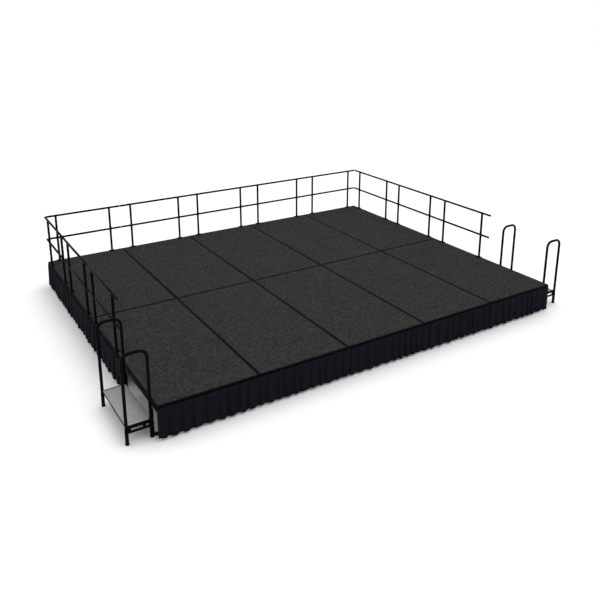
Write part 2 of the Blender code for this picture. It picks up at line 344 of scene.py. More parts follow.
@dataclass(frozen=True)
class ExtrudedVinylTrim(Finish):
    """Extruded black vinyl moulding: near black, smooth along its length, scuffed here and there."""

    dark: str = "#030303"
    light: str = "#070707"
    scuff: str = "#0e0e0e"
    scuff_mm: float = 35.0
    grain_mm: float = 2.5

    def paint(self, tree: bpy.types.NodeTree, shader: bpy.types.Node) -> None:
        """Builds the moulding's shade, scuffs and fine grain.

        Args:
            tree: The material's node tree.
            shader: Its Principled node.
        """
        place = add_node(tree, "ShaderNodeTexCoord").outputs["Object"]
        scuffs = add_node(
            tree,
            "ShaderNodeTexNoise",
            {"Vector": place, "Scale": per_metre(self.scuff_mm), "Detail": 6.0, "Roughness": 0.7},
        )
        grain = add_node(
            tree,
            "ShaderNodeTexNoise",
            {"Vector": place, "Scale": per_metre(self.grain_mm), "Detail": 2.0},
        )
        shade = add_node(
            tree,
            "ShaderNodeMix",
            {0: grain.outputs["Fac"], 6: linear(self.dark), 7: linear(self.light)},
            data_type="RGBA",
        )
        worn = add_node(
            tree,
            "ShaderNodeMapRange",
            {"Value": scuffs.outputs["Fac"], "From Min": 0.58, "From Max": 0.74, "To Max": 0.7},
        )
        colour = add_node(
            tree,
            "ShaderNodeMix",
            {0: worn.outputs[0], 6: shade.outputs[2], 7: linear(self.scuff)},
            data_type="RGBA",
        )
        tree.links.new(colour.outputs[2], shader.inputs["Base Color"])
        rough = add_node(
            tree,
            "ShaderNodeMapRange",
            {
                "Value": scuffs.outputs["Fac"],
                "From Min": 0.35,
                "From Max": 0.7,
                "To Min": 0.58,
                "To Max": 0.75,
            },
        )
        tree.links.new(rough.outputs[0], shader.inputs["Roughness"])
        bump = add_node(
            tree,
            "ShaderNodeBump",
            {"Height": grain.outputs["Fac"], "Strength": 0.3, "Distance": 0.08 * MILLIMETRE},
        )
        tree.links.new(bump.outputs[0], shader.inputs["Normal"])
        shader.inputs["Specular IOR Level"].default_value = 0.03


@dataclass(frozen=True)
class WovenPolyester(Finish):
    """Woven polyester skirting, navy so dark that it reads black: matt, with a faint nap along its folds."""

    dark: str = "#09080f"
    light: str = "#15141e"
    # Threads are half a millimetre apart, too fine to show, so they are drawn eight times as coarse.
    thread_mm: float = 4.0
    # Uneven dye and handling.
    uneven_mm: float = 90.0

    def paint(self, tree: bpy.types.NodeTree, shader: bpy.types.Node) -> None:
        """Builds warp and weft from the cloth's own UV map, in metres along and up the cloth.

        Args:
            tree: The material's node tree.
            shader: Its Principled node.
        """
        cloth = add_node(tree, "ShaderNodeUVMap", uv_map="cloth").outputs["UV"]
        warp, weft = (
            add_node(
                tree,
                "ShaderNodeTexWave",
                {"Vector": cloth, "Scale": per_metre(self.thread_mm) / 20.0 * math.pi, "Distortion": 0.6},
                bands_direction=direction,
            )
            for direction in ("X", "Y")
        )
        weave = add_node(
            tree,
            "ShaderNodeMath",
            {0: warp.outputs["Fac"], 1: weft.outputs["Fac"]},
            operation="MULTIPLY",
        )
        uneven = add_node(
            tree,
            "ShaderNodeTexNoise",
            {"Vector": cloth, "Scale": per_metre(self.uneven_mm), "Detail": 5.0},
        )
        tone = add_node(
            tree,
            "ShaderNodeMath",
            {0: weave.outputs[0], 1: 0.25, 2: uneven.outputs["Fac"]},
            operation="MULTIPLY_ADD",
        )
        colour = add_node(
            tree,
            "ShaderNodeMix",
            {0: tone.outputs[0], 6: linear(self.dark), 7: linear(self.light)},
            data_type="RGBA",
        )
        tree.links.new(colour.outputs[2], shader.inputs["Base Color"])
        rough = add_node(
            tree,
            "ShaderNodeMapRange",
            {"Value": weave.outputs[0], "To Min": 0.78, "To Max": 0.95},
        )
        tree.links.new(rough.outputs[0], shader.inputs["Roughness"])
        bump = add_node(
            tree,
            "ShaderNodeBump",
            {"Height": weave.outputs[0], "Strength": 0.35, "Distance": 0.25 * MILLIMETRE},
        )
        tree.links.new(bump.outputs[0], shader.inputs["Normal"])
        shader.inputs["Specular IOR Level"].default_value = 0.05
        shader.inputs["Sheen Weight"].default_value = 0.01
        shader.inputs["Sheen Roughness"].default_value = 0.5
        shader.inputs["Sheen Tint"].default_value = linear("#5a5a78")


@dataclass(frozen=True)
class GritTread(Finish):
    """Light grey anti-slip tread: mineral grit in a rolled coating, matt and finely speckled."""

    dark: str = "#7b7b7b"
    light: str = "#9a9a99"
    speck: str = "#5c5c5c"
    # Grit of about 1 mm, drawn three times as coarse so that it shows.
    grit_mm: float = 3.0
    patch_mm: float = 70.0

    def paint(self, tree: bpy.types.NodeTree, shader: bpy.types.Node) -> None:
        """Builds the grit, its dark specks and slow patches.

        Args:
            tree: The material's node tree.
            shader: Its Principled node.
        """
        place = add_node(tree, "ShaderNodeTexCoord").outputs["Object"]
        grit = add_node(
            tree,
            "ShaderNodeTexVoronoi",
            {"Vector": place, "Scale": per_metre(self.grit_mm)},
        )
        patch = add_node(
            tree,
            "ShaderNodeTexNoise",
            {"Vector": place, "Scale": per_metre(self.patch_mm), "Detail": 4.0},
        )
        base = add_node(
            tree,
            "ShaderNodeMix",
            {0: patch.outputs["Fac"], 6: linear(self.dark), 7: linear(self.light)},
            data_type="RGBA",
        )
        grain = add_node(tree, "ShaderNodeSeparateColor", {0: grit.outputs["Color"]})
        specks = add_node(
            tree,
            "ShaderNodeMapRange",
            {"Value": grain.outputs[0], "From Min": 0.72, "From Max": 0.8, "To Max": 0.6},
        )
        colour = add_node(
            tree,
            "ShaderNodeMix",
            {0: specks.outputs[0], 6: base.outputs[2], 7: linear(self.speck)},
            data_type="RGBA",
        )
        tree.links.new(colour.outputs[2], shader.inputs["Base Color"])
        rough = add_node(
            tree,
            "ShaderNodeMapRange",
            {"Value": patch.outputs["Fac"], "To Min": 0.72, "To Max": 0.88},
        )
        tree.links.new(rough.outputs[0], shader.inputs["Roughness"])
        bump = add_node(
            tree,
            "ShaderNodeBump",
            {"Height": grit.outputs["Distance"], "Strength": 0.6, "Distance": 0.5 * MILLIMETRE},
        )
        tree.links.new(bump.outputs[0], shader.inputs["Normal"])


@dataclass(frozen=True)
class MouldedRubber(Finish):
    """Moulded black rubber: a dull charcoal that dust settles on."""

    dark: str = "#0b0b0b"
    light: str = "#161615"
    bloom_mm: float = 12.0

    def paint(self, tree: bpy.types.NodeTree, shader: bpy.types.Node) -> None:
        """Builds the rubber's bloom and its fine moulded skin.

        Args:
            tree: The material's node tree.
            shader: Its Principled node.
        """
        place = add_node(tree, "ShaderNodeTexCoord").outputs["Object"]
        bloom = add_node(
            tree,
            "ShaderNodeTexNoise",
            {"Vector": place, "Scale": per_metre(self.bloom_mm), "Detail": 5.0},
        )
        colour = add_node(
            tree,
            "ShaderNodeMix",
            {0: bloom.outputs["Fac"], 6: linear(self.dark), 7: linear(self.light)},
            data_type="RGBA",
        )
        tree.links.new(colour.outputs[2], shader.inputs["Base Color"])
        rough = add_node(
            tree,
            "ShaderNodeMapRange",
            {"Value": bloom.outputs["Fac"], "To Min": 0.72, "To Max": 0.9},
        )
        tree.links.new(rough.outputs[0], shader.inputs["Roughness"])
        bump = add_node(
            tree,
            "ShaderNodeBump",
            {"Height": bloom.outputs["Fac"], "Strength": 0.3, "Distance": 0.15 * MILLIMETRE},
        )
        tree.links.new(bump.outputs[0], shader.inputs["Normal"])
        shader.inputs["Specular IOR Level"].default_value = 0.12


@dataclass(frozen=True)
class ZincPlate(Finish):
    """Bright zinc plate on pressed steel: a cold grey metal with a mottled, slightly brushed face."""

    dark: str = "#77797b"
    light: str = "#a3a6a8"
    mottle_mm: float = 5.0

    def paint(self, tree: bpy.types.NodeTree, shader: bpy.types.Node) -> None:
        """Builds the plate's mottle and fine scratches.

        Args:
            tree: The material's node tree.
            shader: Its Principled node.
        """
        place = add_node(tree, "ShaderNodeTexCoord").outputs["Object"]
        mottle = add_node(
            tree,
            "ShaderNodeTexNoise",
            {"Vector": place, "Scale": per_metre(self.mottle_mm), "Detail": 6.0, "Roughness": 0.7},
        )
        colour = add_node(
            tree,
            "ShaderNodeMix",
            {0: mottle.outputs["Fac"], 6: linear(self.dark), 7: linear(self.light)},
            data_type="RGBA",
        )
        tree.links.new(colour.outputs[2], shader.inputs["Base Color"])
        rough = add_node(
            tree,
            "ShaderNodeMapRange",
            {"Value": mottle.outputs["Fac"], "To Min": 0.28, "To Max": 0.46},
        )
        tree.links.new(rough.outputs[0], shader.inputs["Roughness"])
        bump = add_node(
            tree,
            "ShaderNodeBump",
            {"Height": mottle.outputs["Fac"], "Strength": 0.2, "Distance": 0.05 * MILLIMETRE},
        )
        tree.links.new(bump.outputs[0], shader.inputs["Normal"])
        shader.inputs["Metallic"].default_value = 1.0


@dataclass(frozen=True)
class SealedPlywood(Finish):
    """Birch plywood sealed with a dark stain: its grain runs the length of the deck."""

    early: str = "#3b2c1d"
    late: str = "#22180f"
    # Growth rings show as bands this far apart on a rotary-cut face.
    ring_mm: float = 55.0
    # Open pores, drawn about three times as coarse as they are.
    pore_mm: float = 3.0
    stretch: float = 0.08

    def paint(self, tree: bpy.types.NodeTree, shader: bpy.types.Node) -> None:
        """Builds rings and pores drawn out along Y.

        Args:
            tree: The material's node tree.
            shader: Its Principled node.
        """
        place = add_node(tree, "ShaderNodeTexCoord").outputs["Object"]
        along = add_node(tree, "ShaderNodeMapping", {"Vector": place, "Scale": (1.0, self.stretch, 1.0)})
        rings = add_node(
            tree,
            "ShaderNodeTexNoise",
            {"Vector": along.outputs[0], "Scale": per_metre(self.ring_mm), "Detail": 4.0, "Distortion": 1.2},
        )
        pores = add_node(
            tree,
            "ShaderNodeTexNoise",
            {"Vector": along.outputs[0], "Scale": per_metre(self.pore_mm), "Detail": 2.0},
        )
        figure = add_node(
            tree,
            "ShaderNodeMath",
            {0: pores.outputs["Fac"], 1: 0.35, 2: rings.outputs["Fac"]},
            operation="MULTIPLY_ADD",
        )
        tone = add_node(
            tree,
            "ShaderNodeMapRange",
            {"Value": figure.outputs[0], "From Min": 0.45, "From Max": 0.95},
        )
        colour = add_node(
            tree,
            "ShaderNodeMix",
            {0: tone.outputs[0], 6: linear(self.early), 7: linear(self.late)},
            data_type="RGBA",
        )
        tree.links.new(colour.outputs[2], shader.inputs["Base Color"])
        rough = add_node(
            tree,
            "ShaderNodeMapRange",
            {"Value": pores.outputs["Fac"], "To Min": 0.5, "To Max": 0.7},
        )
        tree.links.new(rough.outputs[0], shader.inputs["Roughness"])
        bump = add_node(
            tree,
            "ShaderNodeBump",
            {"Height": pores.outputs["Fac"], "Strength": 0.3, "Distance": 0.15 * MILLIMETRE},
        )
        tree.links.new(bump.outputs[0], shader.inputs["Normal"])


CARPET = NeedlePunchCarpet("needle_punched_heather_carpet", Slot.CARPET)
STEEL = MattPowderCoat("matt_black_powder_coated_steel", Slot.STEEL)
TRIM = ExtrudedVinylTrim("extruded_black_vinyl", Slot.TRIM)
CLOTH = WovenPolyester("woven_dark_navy_polyester", Slot.CLOTH)
TREAD = GritTread("grey_grit_coated_tread", Slot.TREAD)
RUBBER = MouldedRubber("moulded_black_rubber", Slot.RUBBER)
ZINC = ZincPlate("zinc_plated_steel", Slot.ZINC)
PLYWOOD = SealedPlywood("dark_sealed_birch_plywood", None)


# ---------------------------------------------------------------------------------------------
# Shapes
# ---------------------------------------------------------------------------------------------


@dataclass(frozen=True)
class Straight:
    """A straight length of pipe."""

    length: float


@dataclass(frozen=True)
class Bend:
    """A bend in a pipe, of this radius and angle, towards this direction."""

    radius: float
    angle: float
    towards: tuple[float, float, float]
    steps: int = 8


class Shape:
    """A mesh in the making, built up from bmesh operators."""

    def __init__(self) -> None:
        """Starts empty."""
        self.bm = bmesh.new()

    def soften(self, edges: Iterable[bmesh.types.BMEdge], width: float, segments: int) -> None:
        """Rounds these edges.

        Args:
            edges: The edges to round.
            width: The radius.
            segments: How many faces go round each.
        """
        bmesh.ops.bevel(
            self.bm,
            geom=list(edges),
            offset=width,
            offset_type="OFFSET",
            segments=segments,
            profile=0.5,
            affect="EDGES",
            material=-1,
            clamp_overlap=True,
        )

    def block(self, low: Point, high: Point, edge: float = 0.0, segments: int = 2) -> Shape:
        """Adds a box between two corners.

        Args:
            low: Its lowest corner.
            high: Its highest corner.
            edge: The radius of its edges, or 0 for sharp ones.
            segments: How many faces round each edge.

        Returns:
            This shape.
        """
        size = [b - a for a, b in zip(low, high)]
        middle = [(a + b) / 2 for a, b in zip(low, high)]
        stand = Matrix.Translation(middle) @ Matrix.Diagonal((*size, 1.0))
        made = bmesh.ops.create_cube(self.bm, size=1.0, matrix=stand)
        if edge:
            self.soften({e for v in made["verts"] for e in v.link_edges}, edge, segments)
        return self

    def rod(
        self,
        start: Point,
        end: Point,
        radius: float,
        sides: int = 20,
        edge: float = 0.0,
        end_radius: float | None = None,
    ) -> Shape:
        """Adds a round bar, or a cone, between two points.

        Args:
            start: The middle of one end.
            end: The middle of the other.
            radius: Its radius at the start.
            sides: How many faces go round it.
            edge: The radius of its rims.
            end_radius: Its radius at the end, if that differs.

        Returns:
            This shape.
        """
        a, b = Vector(start), Vector(end)
        turn = (b - a).to_track_quat("Z", "Y").to_matrix().to_4x4()
        made = bmesh.ops.create_cone(
            self.bm,
            cap_ends=True,
            segments=sides,
            radius1=radius,
            radius2=radius if end_radius is None else end_radius,
            depth=(b - a).length,
            matrix=Matrix.Translation((a + b) / 2) @ turn,
        )
        if edge:
            edges = {e for v in made["verts"] for e in v.link_edges}
            rims = [e for e in edges if any(len(f.verts) > 4 for f in e.link_faces)]
            self.soften(rims, edge, 2)
        return self

    def pipe(
        self,
        start: Point,
        heading: Point,
        radius: float,
        route: Sequence[Straight | Bend],
        sides: int = 20,
    ) -> Shape:
        """Adds a pipe that runs straight and bends, closed at both ends.

        Args:
            start: The middle of its first end.
            heading: The direction it sets off in.
            radius: Its radius.
            route: Its lengths and bends in order.
            sides: How many faces go round it.

        Returns:
            This shape.
        """
        at, ahead = Vector(start), Vector(heading).normalized()
        turn = ahead.to_track_quat("Z", "Y").to_matrix().to_4x4()
        made = bmesh.ops.create_circle(
            self.bm, cap_ends=True, segments=sides, radius=radius, matrix=Matrix.Translation(at) @ turn
        )
        rim = list({e for v in made["verts"] for e in v.link_edges})
        for leg in route:
            if isinstance(leg, Straight):
                grown = bmesh.ops.extrude_edge_only(self.bm, edges=rim)["geom"]
                verts = [g for g in grown if isinstance(g, bmesh.types.BMVert)]
                bmesh.ops.translate(self.bm, verts=verts, vec=ahead * leg.length)
                at = at + ahead * leg.length
                rim = [g for g in grown if isinstance(g, bmesh.types.BMEdge)]
                rim = [e for e in rim if all(v in verts for v in e.verts)]
                continue
            towards = Vector(leg.towards).normalized()
            centre, axis = at + towards * leg.radius, ahead.cross(towards)
            verts = list({v for e in rim for v in e.verts})
            spun = bmesh.ops.spin(
                self.bm,
                geom=[*verts, *rim],
                cent=centre,
                axis=axis,
                angle=leg.angle,
                steps=leg.steps,
                use_duplicate=False,
            )["geom_last"]
            rim = [g for g in spun if isinstance(g, bmesh.types.BMEdge)]
            rotation = Matrix.Rotation(leg.angle, 3, axis)
            at = centre + rotation @ (at - centre)
            ahead = rotation @ ahead
        bmesh.ops.edgeloop_fill(self.bm, edges=rim)
        return self

    def ring(self, centre: Point, axis: Point, radius: float, bead: float, sides: int = 16) -> Shape:
        """Adds a bead of weld, a ring about an axis.

        Args:
            centre: The middle of the ring.
            axis: The axis it goes round.
            radius: From the axis to the middle of the bead.
            bead: The bead's own radius.
            sides: How many faces go round the axis.

        Returns:
            This shape.
        """
        along = Vector(axis).normalized()
        out = along.orthogonal().normalized()
        stand = Matrix.Translation(Vector(centre) + out * radius)
        facing = along.cross(out).to_track_quat("Z", "Y").to_matrix().to_4x4()
        made = bmesh.ops.create_circle(self.bm, segments=6, radius=bead, matrix=stand @ facing)
        edges = list({e for v in made["verts"] for e in v.link_edges})
        bmesh.ops.spin(
            self.bm,
            geom=[*made["verts"], *edges],
            cent=centre,
            axis=along,
            angle=math.tau,
            steps=sides,
            use_merge=True,
            use_duplicate=False,
        )
        return self

    def collar(self, centre: Point, axis: Point, inner: float, outer: float, width: float) -> Shape:
        """Adds a flat ring with a hole, such as a washer or the eye of a lug.

        Args:
            centre: The middle of the hole.
            axis: The axis of the hole.
            inner: The hole's radius.
            outer: The ring's radius.
            width: Its size along the axis.

        Returns:
            This shape.
        """
        along = Vector(axis).normalized()
        out = along.orthogonal().normalized()
        middle = Vector(centre)
        section = [(inner, -width / 2), (outer, -width / 2), (outer, width / 2), (inner, width / 2)]
        verts = [self.bm.verts.new(middle + out * r + along * w) for r, w in section]
        edges = [self.bm.edges.new((a, b)) for a, b in zip(verts, verts[1:] + verts[:1])]
        bmesh.ops.spin(
            self.bm,
            geom=[*verts, *edges],
            cent=middle,
            axis=along,
            angle=math.tau,
            steps=24,
            use_merge=True,
            use_duplicate=False,
        )
        return self

    def bolt(self, seat: Point, axis: Point, across: float = 0.013) -> Shape:
        """Adds a hexagon bolt head on its washer.

        Args:
            seat: Where the washer sits.
            axis: The way the head faces.
            across: The head's size across its flats.

        Returns:
            This shape.
        """
        foot, out = Vector(seat), Vector(axis).normalized()
        washer, head = 0.0016, across * 0.42
        self.rod(foot, foot + out * washer, across * 0.72, 16)
        self.rod(foot + out * washer, foot + out * (washer + head), across * 0.577, 6)
        self.rod(foot + out * (washer + head), foot + out * (washer + head + 0.0006), across * 0.48, 12)
        return self

    def loops(self, loops: Sequence[Sequence[Point]]) -> Shape:
        """Adds a closed moulding that runs through several sections in turn and back to the first.

        Args:
            loops: The section's corners at each mitre, in order.

        Returns:
            This shape.
        """
        made: list[list[bmesh.types.BMEdge]] = []
        for loop in loops:
            verts = [self.bm.verts.new(p) for p in loop]
            made.append([self.bm.edges.new((a, b)) for a, b in zip(verts, verts[1:] + verts[:1])])
        for first, second in zip(made, made[1:] + made[:1]):
            bmesh.ops.bridge_loops(self.bm, edges=[*first, *second])
        return self

    def mesh(self, name: str) -> bpy.types.Mesh:
        """Ends the shape.

        Args:
            name: The mesh's name.

        Returns:
            Its mesh, with doubles merged and faces pointing out.
        """
        bmesh.ops.remove_doubles(self.bm, verts=self.bm.verts, dist=0.000005)
        bmesh.ops.recalc_face_normals(self.bm, faces=self.bm.faces)
        made = bpy.data.meshes.new(name)
        self.bm.to_mesh(made)
        self.bm.free()
        made.shade_smooth()
        made.set_sharp_from_angle(angle=SMOOTH_UNDER)
        return made


def set_down(mesh: bpy.types.Mesh, stand: Matrix) -> bpy.types.Mesh:
    """A copy of a mesh with its place in its vertices.

    Args:
        mesh: The mesh about its own origin.
        stand: Where it goes.

    Returns:
        The copy.
    """
    copy = mesh.copy()
    copy.transform(stand)
    if stand.determinant() < 0:
        copy.flip_normals()
    return copy


def dress(
    name: str,
    mesh: bpy.types.Mesh,
    finish: Finish,
    body: str,
    stands_for: Sequence[str] = (),
) -> bpy.types.Object:
    """Makes a finished piece of a mesh.

    Args:
        name: The piece's name.
        mesh: Its mesh, in place.
        finish: What it is made of.
        body: The body it rides on.
        stands_for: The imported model's nodes that it replaces.

    Returns:
        The piece.
    """
    mesh.name = name
    mesh.materials.clear()
    mesh.materials.append(finish.material())
    piece = bpy.data.objects.new(name, mesh)
    bpy.context.scene.collection.objects.link(piece)
    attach(piece, body)
    if stands_for:
        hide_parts(*stands_for)
    LOG.info("%s: %d faces, %s, rides on %s", name, len(mesh.polygons), finish.name, body)
    return piece


# ---------------------------------------------------------------------------------------------
# Decks
# ---------------------------------------------------------------------------------------------


@dataclass
class Deck:
    """A deck: plywood core, carpet bonded on top, a moulding round the edge and a steel frame under it."""

    row: str
    column: int
    # The moulding's top lip is wide on the long sides and narrow on the ends.
    side_lip: float = 0.0185
    end_lip: float = 0.0195
    lip_drop: float = 0.0009
    lip_thickness: float = 0.0014
    wall: float = 0.0020
    under_lip: float = 0.012
    shoulder: float = 0.0016
    carpet_depth: float = 0.0060
    carpet_edge: float = 0.0022
    tube_width: float = 0.032
    tube_edge: float = 0.0030
    bays: int = 4
    leg_inset: float = 0.111
    hinge_drop: float = 0.020
    lug_near: float = 0.578
    lug_thickness: float = 0.006
    lug_radius: float = 0.019
    lug_hole: float = 0.0105
    gusset: float = 0.070

    def __post_init__(self) -> None:
        """Takes the deck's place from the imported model."""
        self.name = f"{self.row}_{self.column}"
        self.board_node = f"deck_board_{self.name}"
        self.frame_node = f"deck_frame_{self.name}"
        self.low, self.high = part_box(self.board_node)
        frame_low, frame_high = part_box(self.frame_node)
        self.frame_high = frame_high.z
        self.hinge_z = frame_low.z + self.lug_radius
        self.frame_low = self.hinge_z + self.hinge_drop
        self.middle = (self.low + self.high) / 2

    def build(self) -> None:
        """Makes the deck's pieces."""
        self.build_core()
        self.build_trim()
        self.build_carpet()
        self.build_frame()
        self.build_lugs()

    def build_core(self) -> None:
        """The plywood under the carpet, inside the moulding."""
        inset = Vector((self.wall + 0.0002,) * 2 + (self.lip_thickness + 0.0002,))
        core_top = self.high.z - self.carpet_depth - 0.0002
        low = self.low + inset
        high = Vector((self.high.x - inset.x, self.high.y - inset.y, core_top))
        mesh = Shape().block(low, high, 0.0008, 1).mesh("core")
        dress(f"plywood_core_{self.name}", mesh, PLYWOOD, "stage", [self.board_node])

    def trim_section(self, sign_x: int, sign_y: int) -> list[tuple[float, float, float]]:
        """The moulding's section at a mitred corner.

        Args:
            sign_x: Which end of the deck in X.
            sign_y: Which end of the deck in Y.

        Returns:
            The section's corners in order.
        """
        bottom, top = self.low.z, self.high.z - self.lip_drop
        round_in, round_down = self.shoulder * 0.29, self.shoulder * 0.29
        corners = (
            (0.0, 0.0, bottom + self.shoulder),
            (round_in, 0.0, bottom + round_down),
            (self.shoulder, 0.0, bottom),
            (self.under_lip, 0.0, bottom),
            (self.under_lip, 0.0, bottom + self.lip_thickness),
            (self.wall, 0.0, bottom + self.lip_thickness),
            (self.wall, 0.0, top - self.lip_thickness),
            (0.0, 1.0, top - self.lip_thickness),
            (0.0, 1.0, top - 0.0003),
            (self.shoulder, 0.0, top),
            (round_in, 0.0, top - round_down),
            (0.0, 0.0, top - self.shoulder),
        )
        corner_x = self.high.x if sign_x > 0 else self.low.x
        corner_y = self.high.y if sign_y > 0 else self.low.y
        return [
            (
                corner_x - sign_x * (inset + lip * self.side_lip),
                corner_y - sign_y * (inset + lip * self.end_lip),
                z,
            )
            for inset, lip, z in corners
        ]

    def build_trim(self) -> None:
        """The vinyl moulding round the board, mitred at its corners."""
        turns = ((-1, -1), (1, -1), (1, 1), (-1, 1))
        mesh = Shape().loops([self.trim_section(*turn) for turn in turns]).mesh("trim")
        dress(f"edge_trim_{self.name}", mesh, TRIM, "stage", [self.board_node])

    def build_carpet(self) -> None:
        """The carpet between the moulding's lips, rolled down a little at its edges and not quite flat."""
        lip = Vector((self.side_lip + 0.0004, self.end_lip + 0.0004, 0.0))
        low, high = self.low + lip, self.high - lip
        low.z = self.high.z - self.carpet_depth
        shape = Shape().block(low, high)
        bm = shape.bm
        upright = [e for e in bm.edges if abs(e.verts[0].co.z - e.verts[1].co.z) > 1e-6]
        along_x = [e for e in bm.edges if abs(e.verts[0].co.x - e.verts[1].co.x) > 1e-6]
        along_y = [e for e in bm.edges if e not in upright and e not in along_x]
        rim = [e for e in [*along_x, *along_y] if e.verts[0].co.z > low.z + 1e-6]
        shape.soften(rim, self.carpet_edge, 3)
        for axis, count in (("x", 14), ("y", 28)):
            start, end = getattr(low, axis), getattr(high, axis)
            normal = Vector((axis == "x", axis == "y", 0.0))
            for i in range(1, count):
                at = start + (end - start) * i / count
                cut = normal * at
                bmesh.ops.bisect_plane(
                    bm,
                    geom=[*bm.verts, *bm.edges, *bm.faces],
                    dist=1e-6,
                    plane_co=cut,
                    plane_no=normal,
                )
        draw = random.Random(f"carpet {self.name}")
        for vert in bm.verts:
            inside = low.x + 0.02 < vert.co.x < high.x - 0.02 and low.y + 0.02 < vert.co.y < high.y - 0.02
            if inside and vert.co.z > self.high.z - 1e-5:
                vert.co.z -= draw.uniform(0.0, 0.0005)
        dress(f"carpet_{self.name}", shape.mesh("carpet"), CARPET, "stage", [self.board_node])

    def build_frame(self) -> None:
        """Rectangular steel tube: two sides, two ends and cross bars, with gussets in the corners."""
        shape = Shape()
        top, bottom = self.frame_high, self.frame_low
        x0, x1 = self.low.x, self.high.x
        y0, y1 = self.low.y, self.high.y
        width = self.tube_width
        for x in (x0, x1 - width):
            shape.block((x, y0, bottom), (x + width, y1, top), self.tube_edge)
        inner = (x0 + width - 0.002, x1 - width + 0.002)
        bay = (y1 - y0 - width * (self.bays + 1)) / self.bays
        for i in range(self.bays + 1):
            y = y0 + i * (bay + width)
            outer = i in (0, self.bays)
            rise = 0.0 if outer else 0.002
            shape.block((inner[0], y, bottom + rise), (inner[1], y + width, top - rise), self.tube_edge)
        dress(f"frame_tubes_{self.name}", shape.mesh("frame"), STEEL, "stage", [self.frame_node])
        plates = Shape()
        for sign_x in (-1, 1):
            for sign_y in (-1, 1):
                corner_x = x0 + width if sign_x < 0 else x1 - width
                corner_y = y0 + width if sign_y < 0 else y1 - width
                corner = Vector((corner_x, corner_y, 0))
                self.add_gusset(plates, corner, -sign_x, -sign_y, (top + bottom) / 2)
        dress(f"frame_gussets_{self.name}", plates.mesh("gussets"), STEEL, "stage")

    def add_gusset(self, shape: Shape, corner: Vector, way_x: int, way_y: int, height: float) -> None:
        """Adds a triangular plate in a corner of the frame.

        Args:
            shape: The shape to add to.
            corner: The inside corner.
            way_x: The way the corner opens in X.
            way_y: The way it opens in Y.
            height: The plate's height.
        """
        half = 0.002
        spots = ((0.0, 0.0), (self.gusset, 0.0), (0.0, self.gusset))
        verts = [
            shape.bm.verts.new((corner.x + way_x * (a - half), corner.y + way_y * (b - half), height - half))
            for a, b in spots
        ]
        face = shape.bm.faces.new(verts)
        grown = bmesh.ops.extrude_face_region(shape.bm, geom=[face])["geom"]
        lifted = [g for g in grown if isinstance(g, bmesh.types.BMVert)]
        bmesh.ops.translate(shape.bm, verts=lifted, vec=(0.0, 0.0, 2 * half))

    def build_lugs(self) -> None:
        """The four hinge lugs: an eye on the hinge's axis, hung from the side tube, with a weld on top."""
        shape = Shape()
        top = self.frame_low
        for sign_x in (-1, 1):
            for sign_y in (-1, 1):
                x = self.middle.x + sign_x * (self.lug_near + self.lug_thickness / 2)
                y = self.middle.y + sign_y * (self.high.y - self.low.y + 0.002) / 2 - sign_y * self.leg_inset
                eye = (x, y, self.hinge_z)
                shape.collar(eye, (1, 0, 0), self.lug_hole, self.lug_radius, self.lug_thickness)
                neck = self.lug_thickness / 2
                shape.block(
                    (x - neck, y - self.lug_radius, self.hinge_z + self.lug_hole),
                    (x + neck, y + self.lug_radius, top + 0.001),
                )
                weld = neck + 0.0025
                shape.rod((x, y - self.lug_radius, top), (x, y + self.lug_radius, top), weld, 8)
        dress(f"hinge_lugs_{self.name}", shape.mesh("lugs"), STEEL, "stage", [self.frame_node])


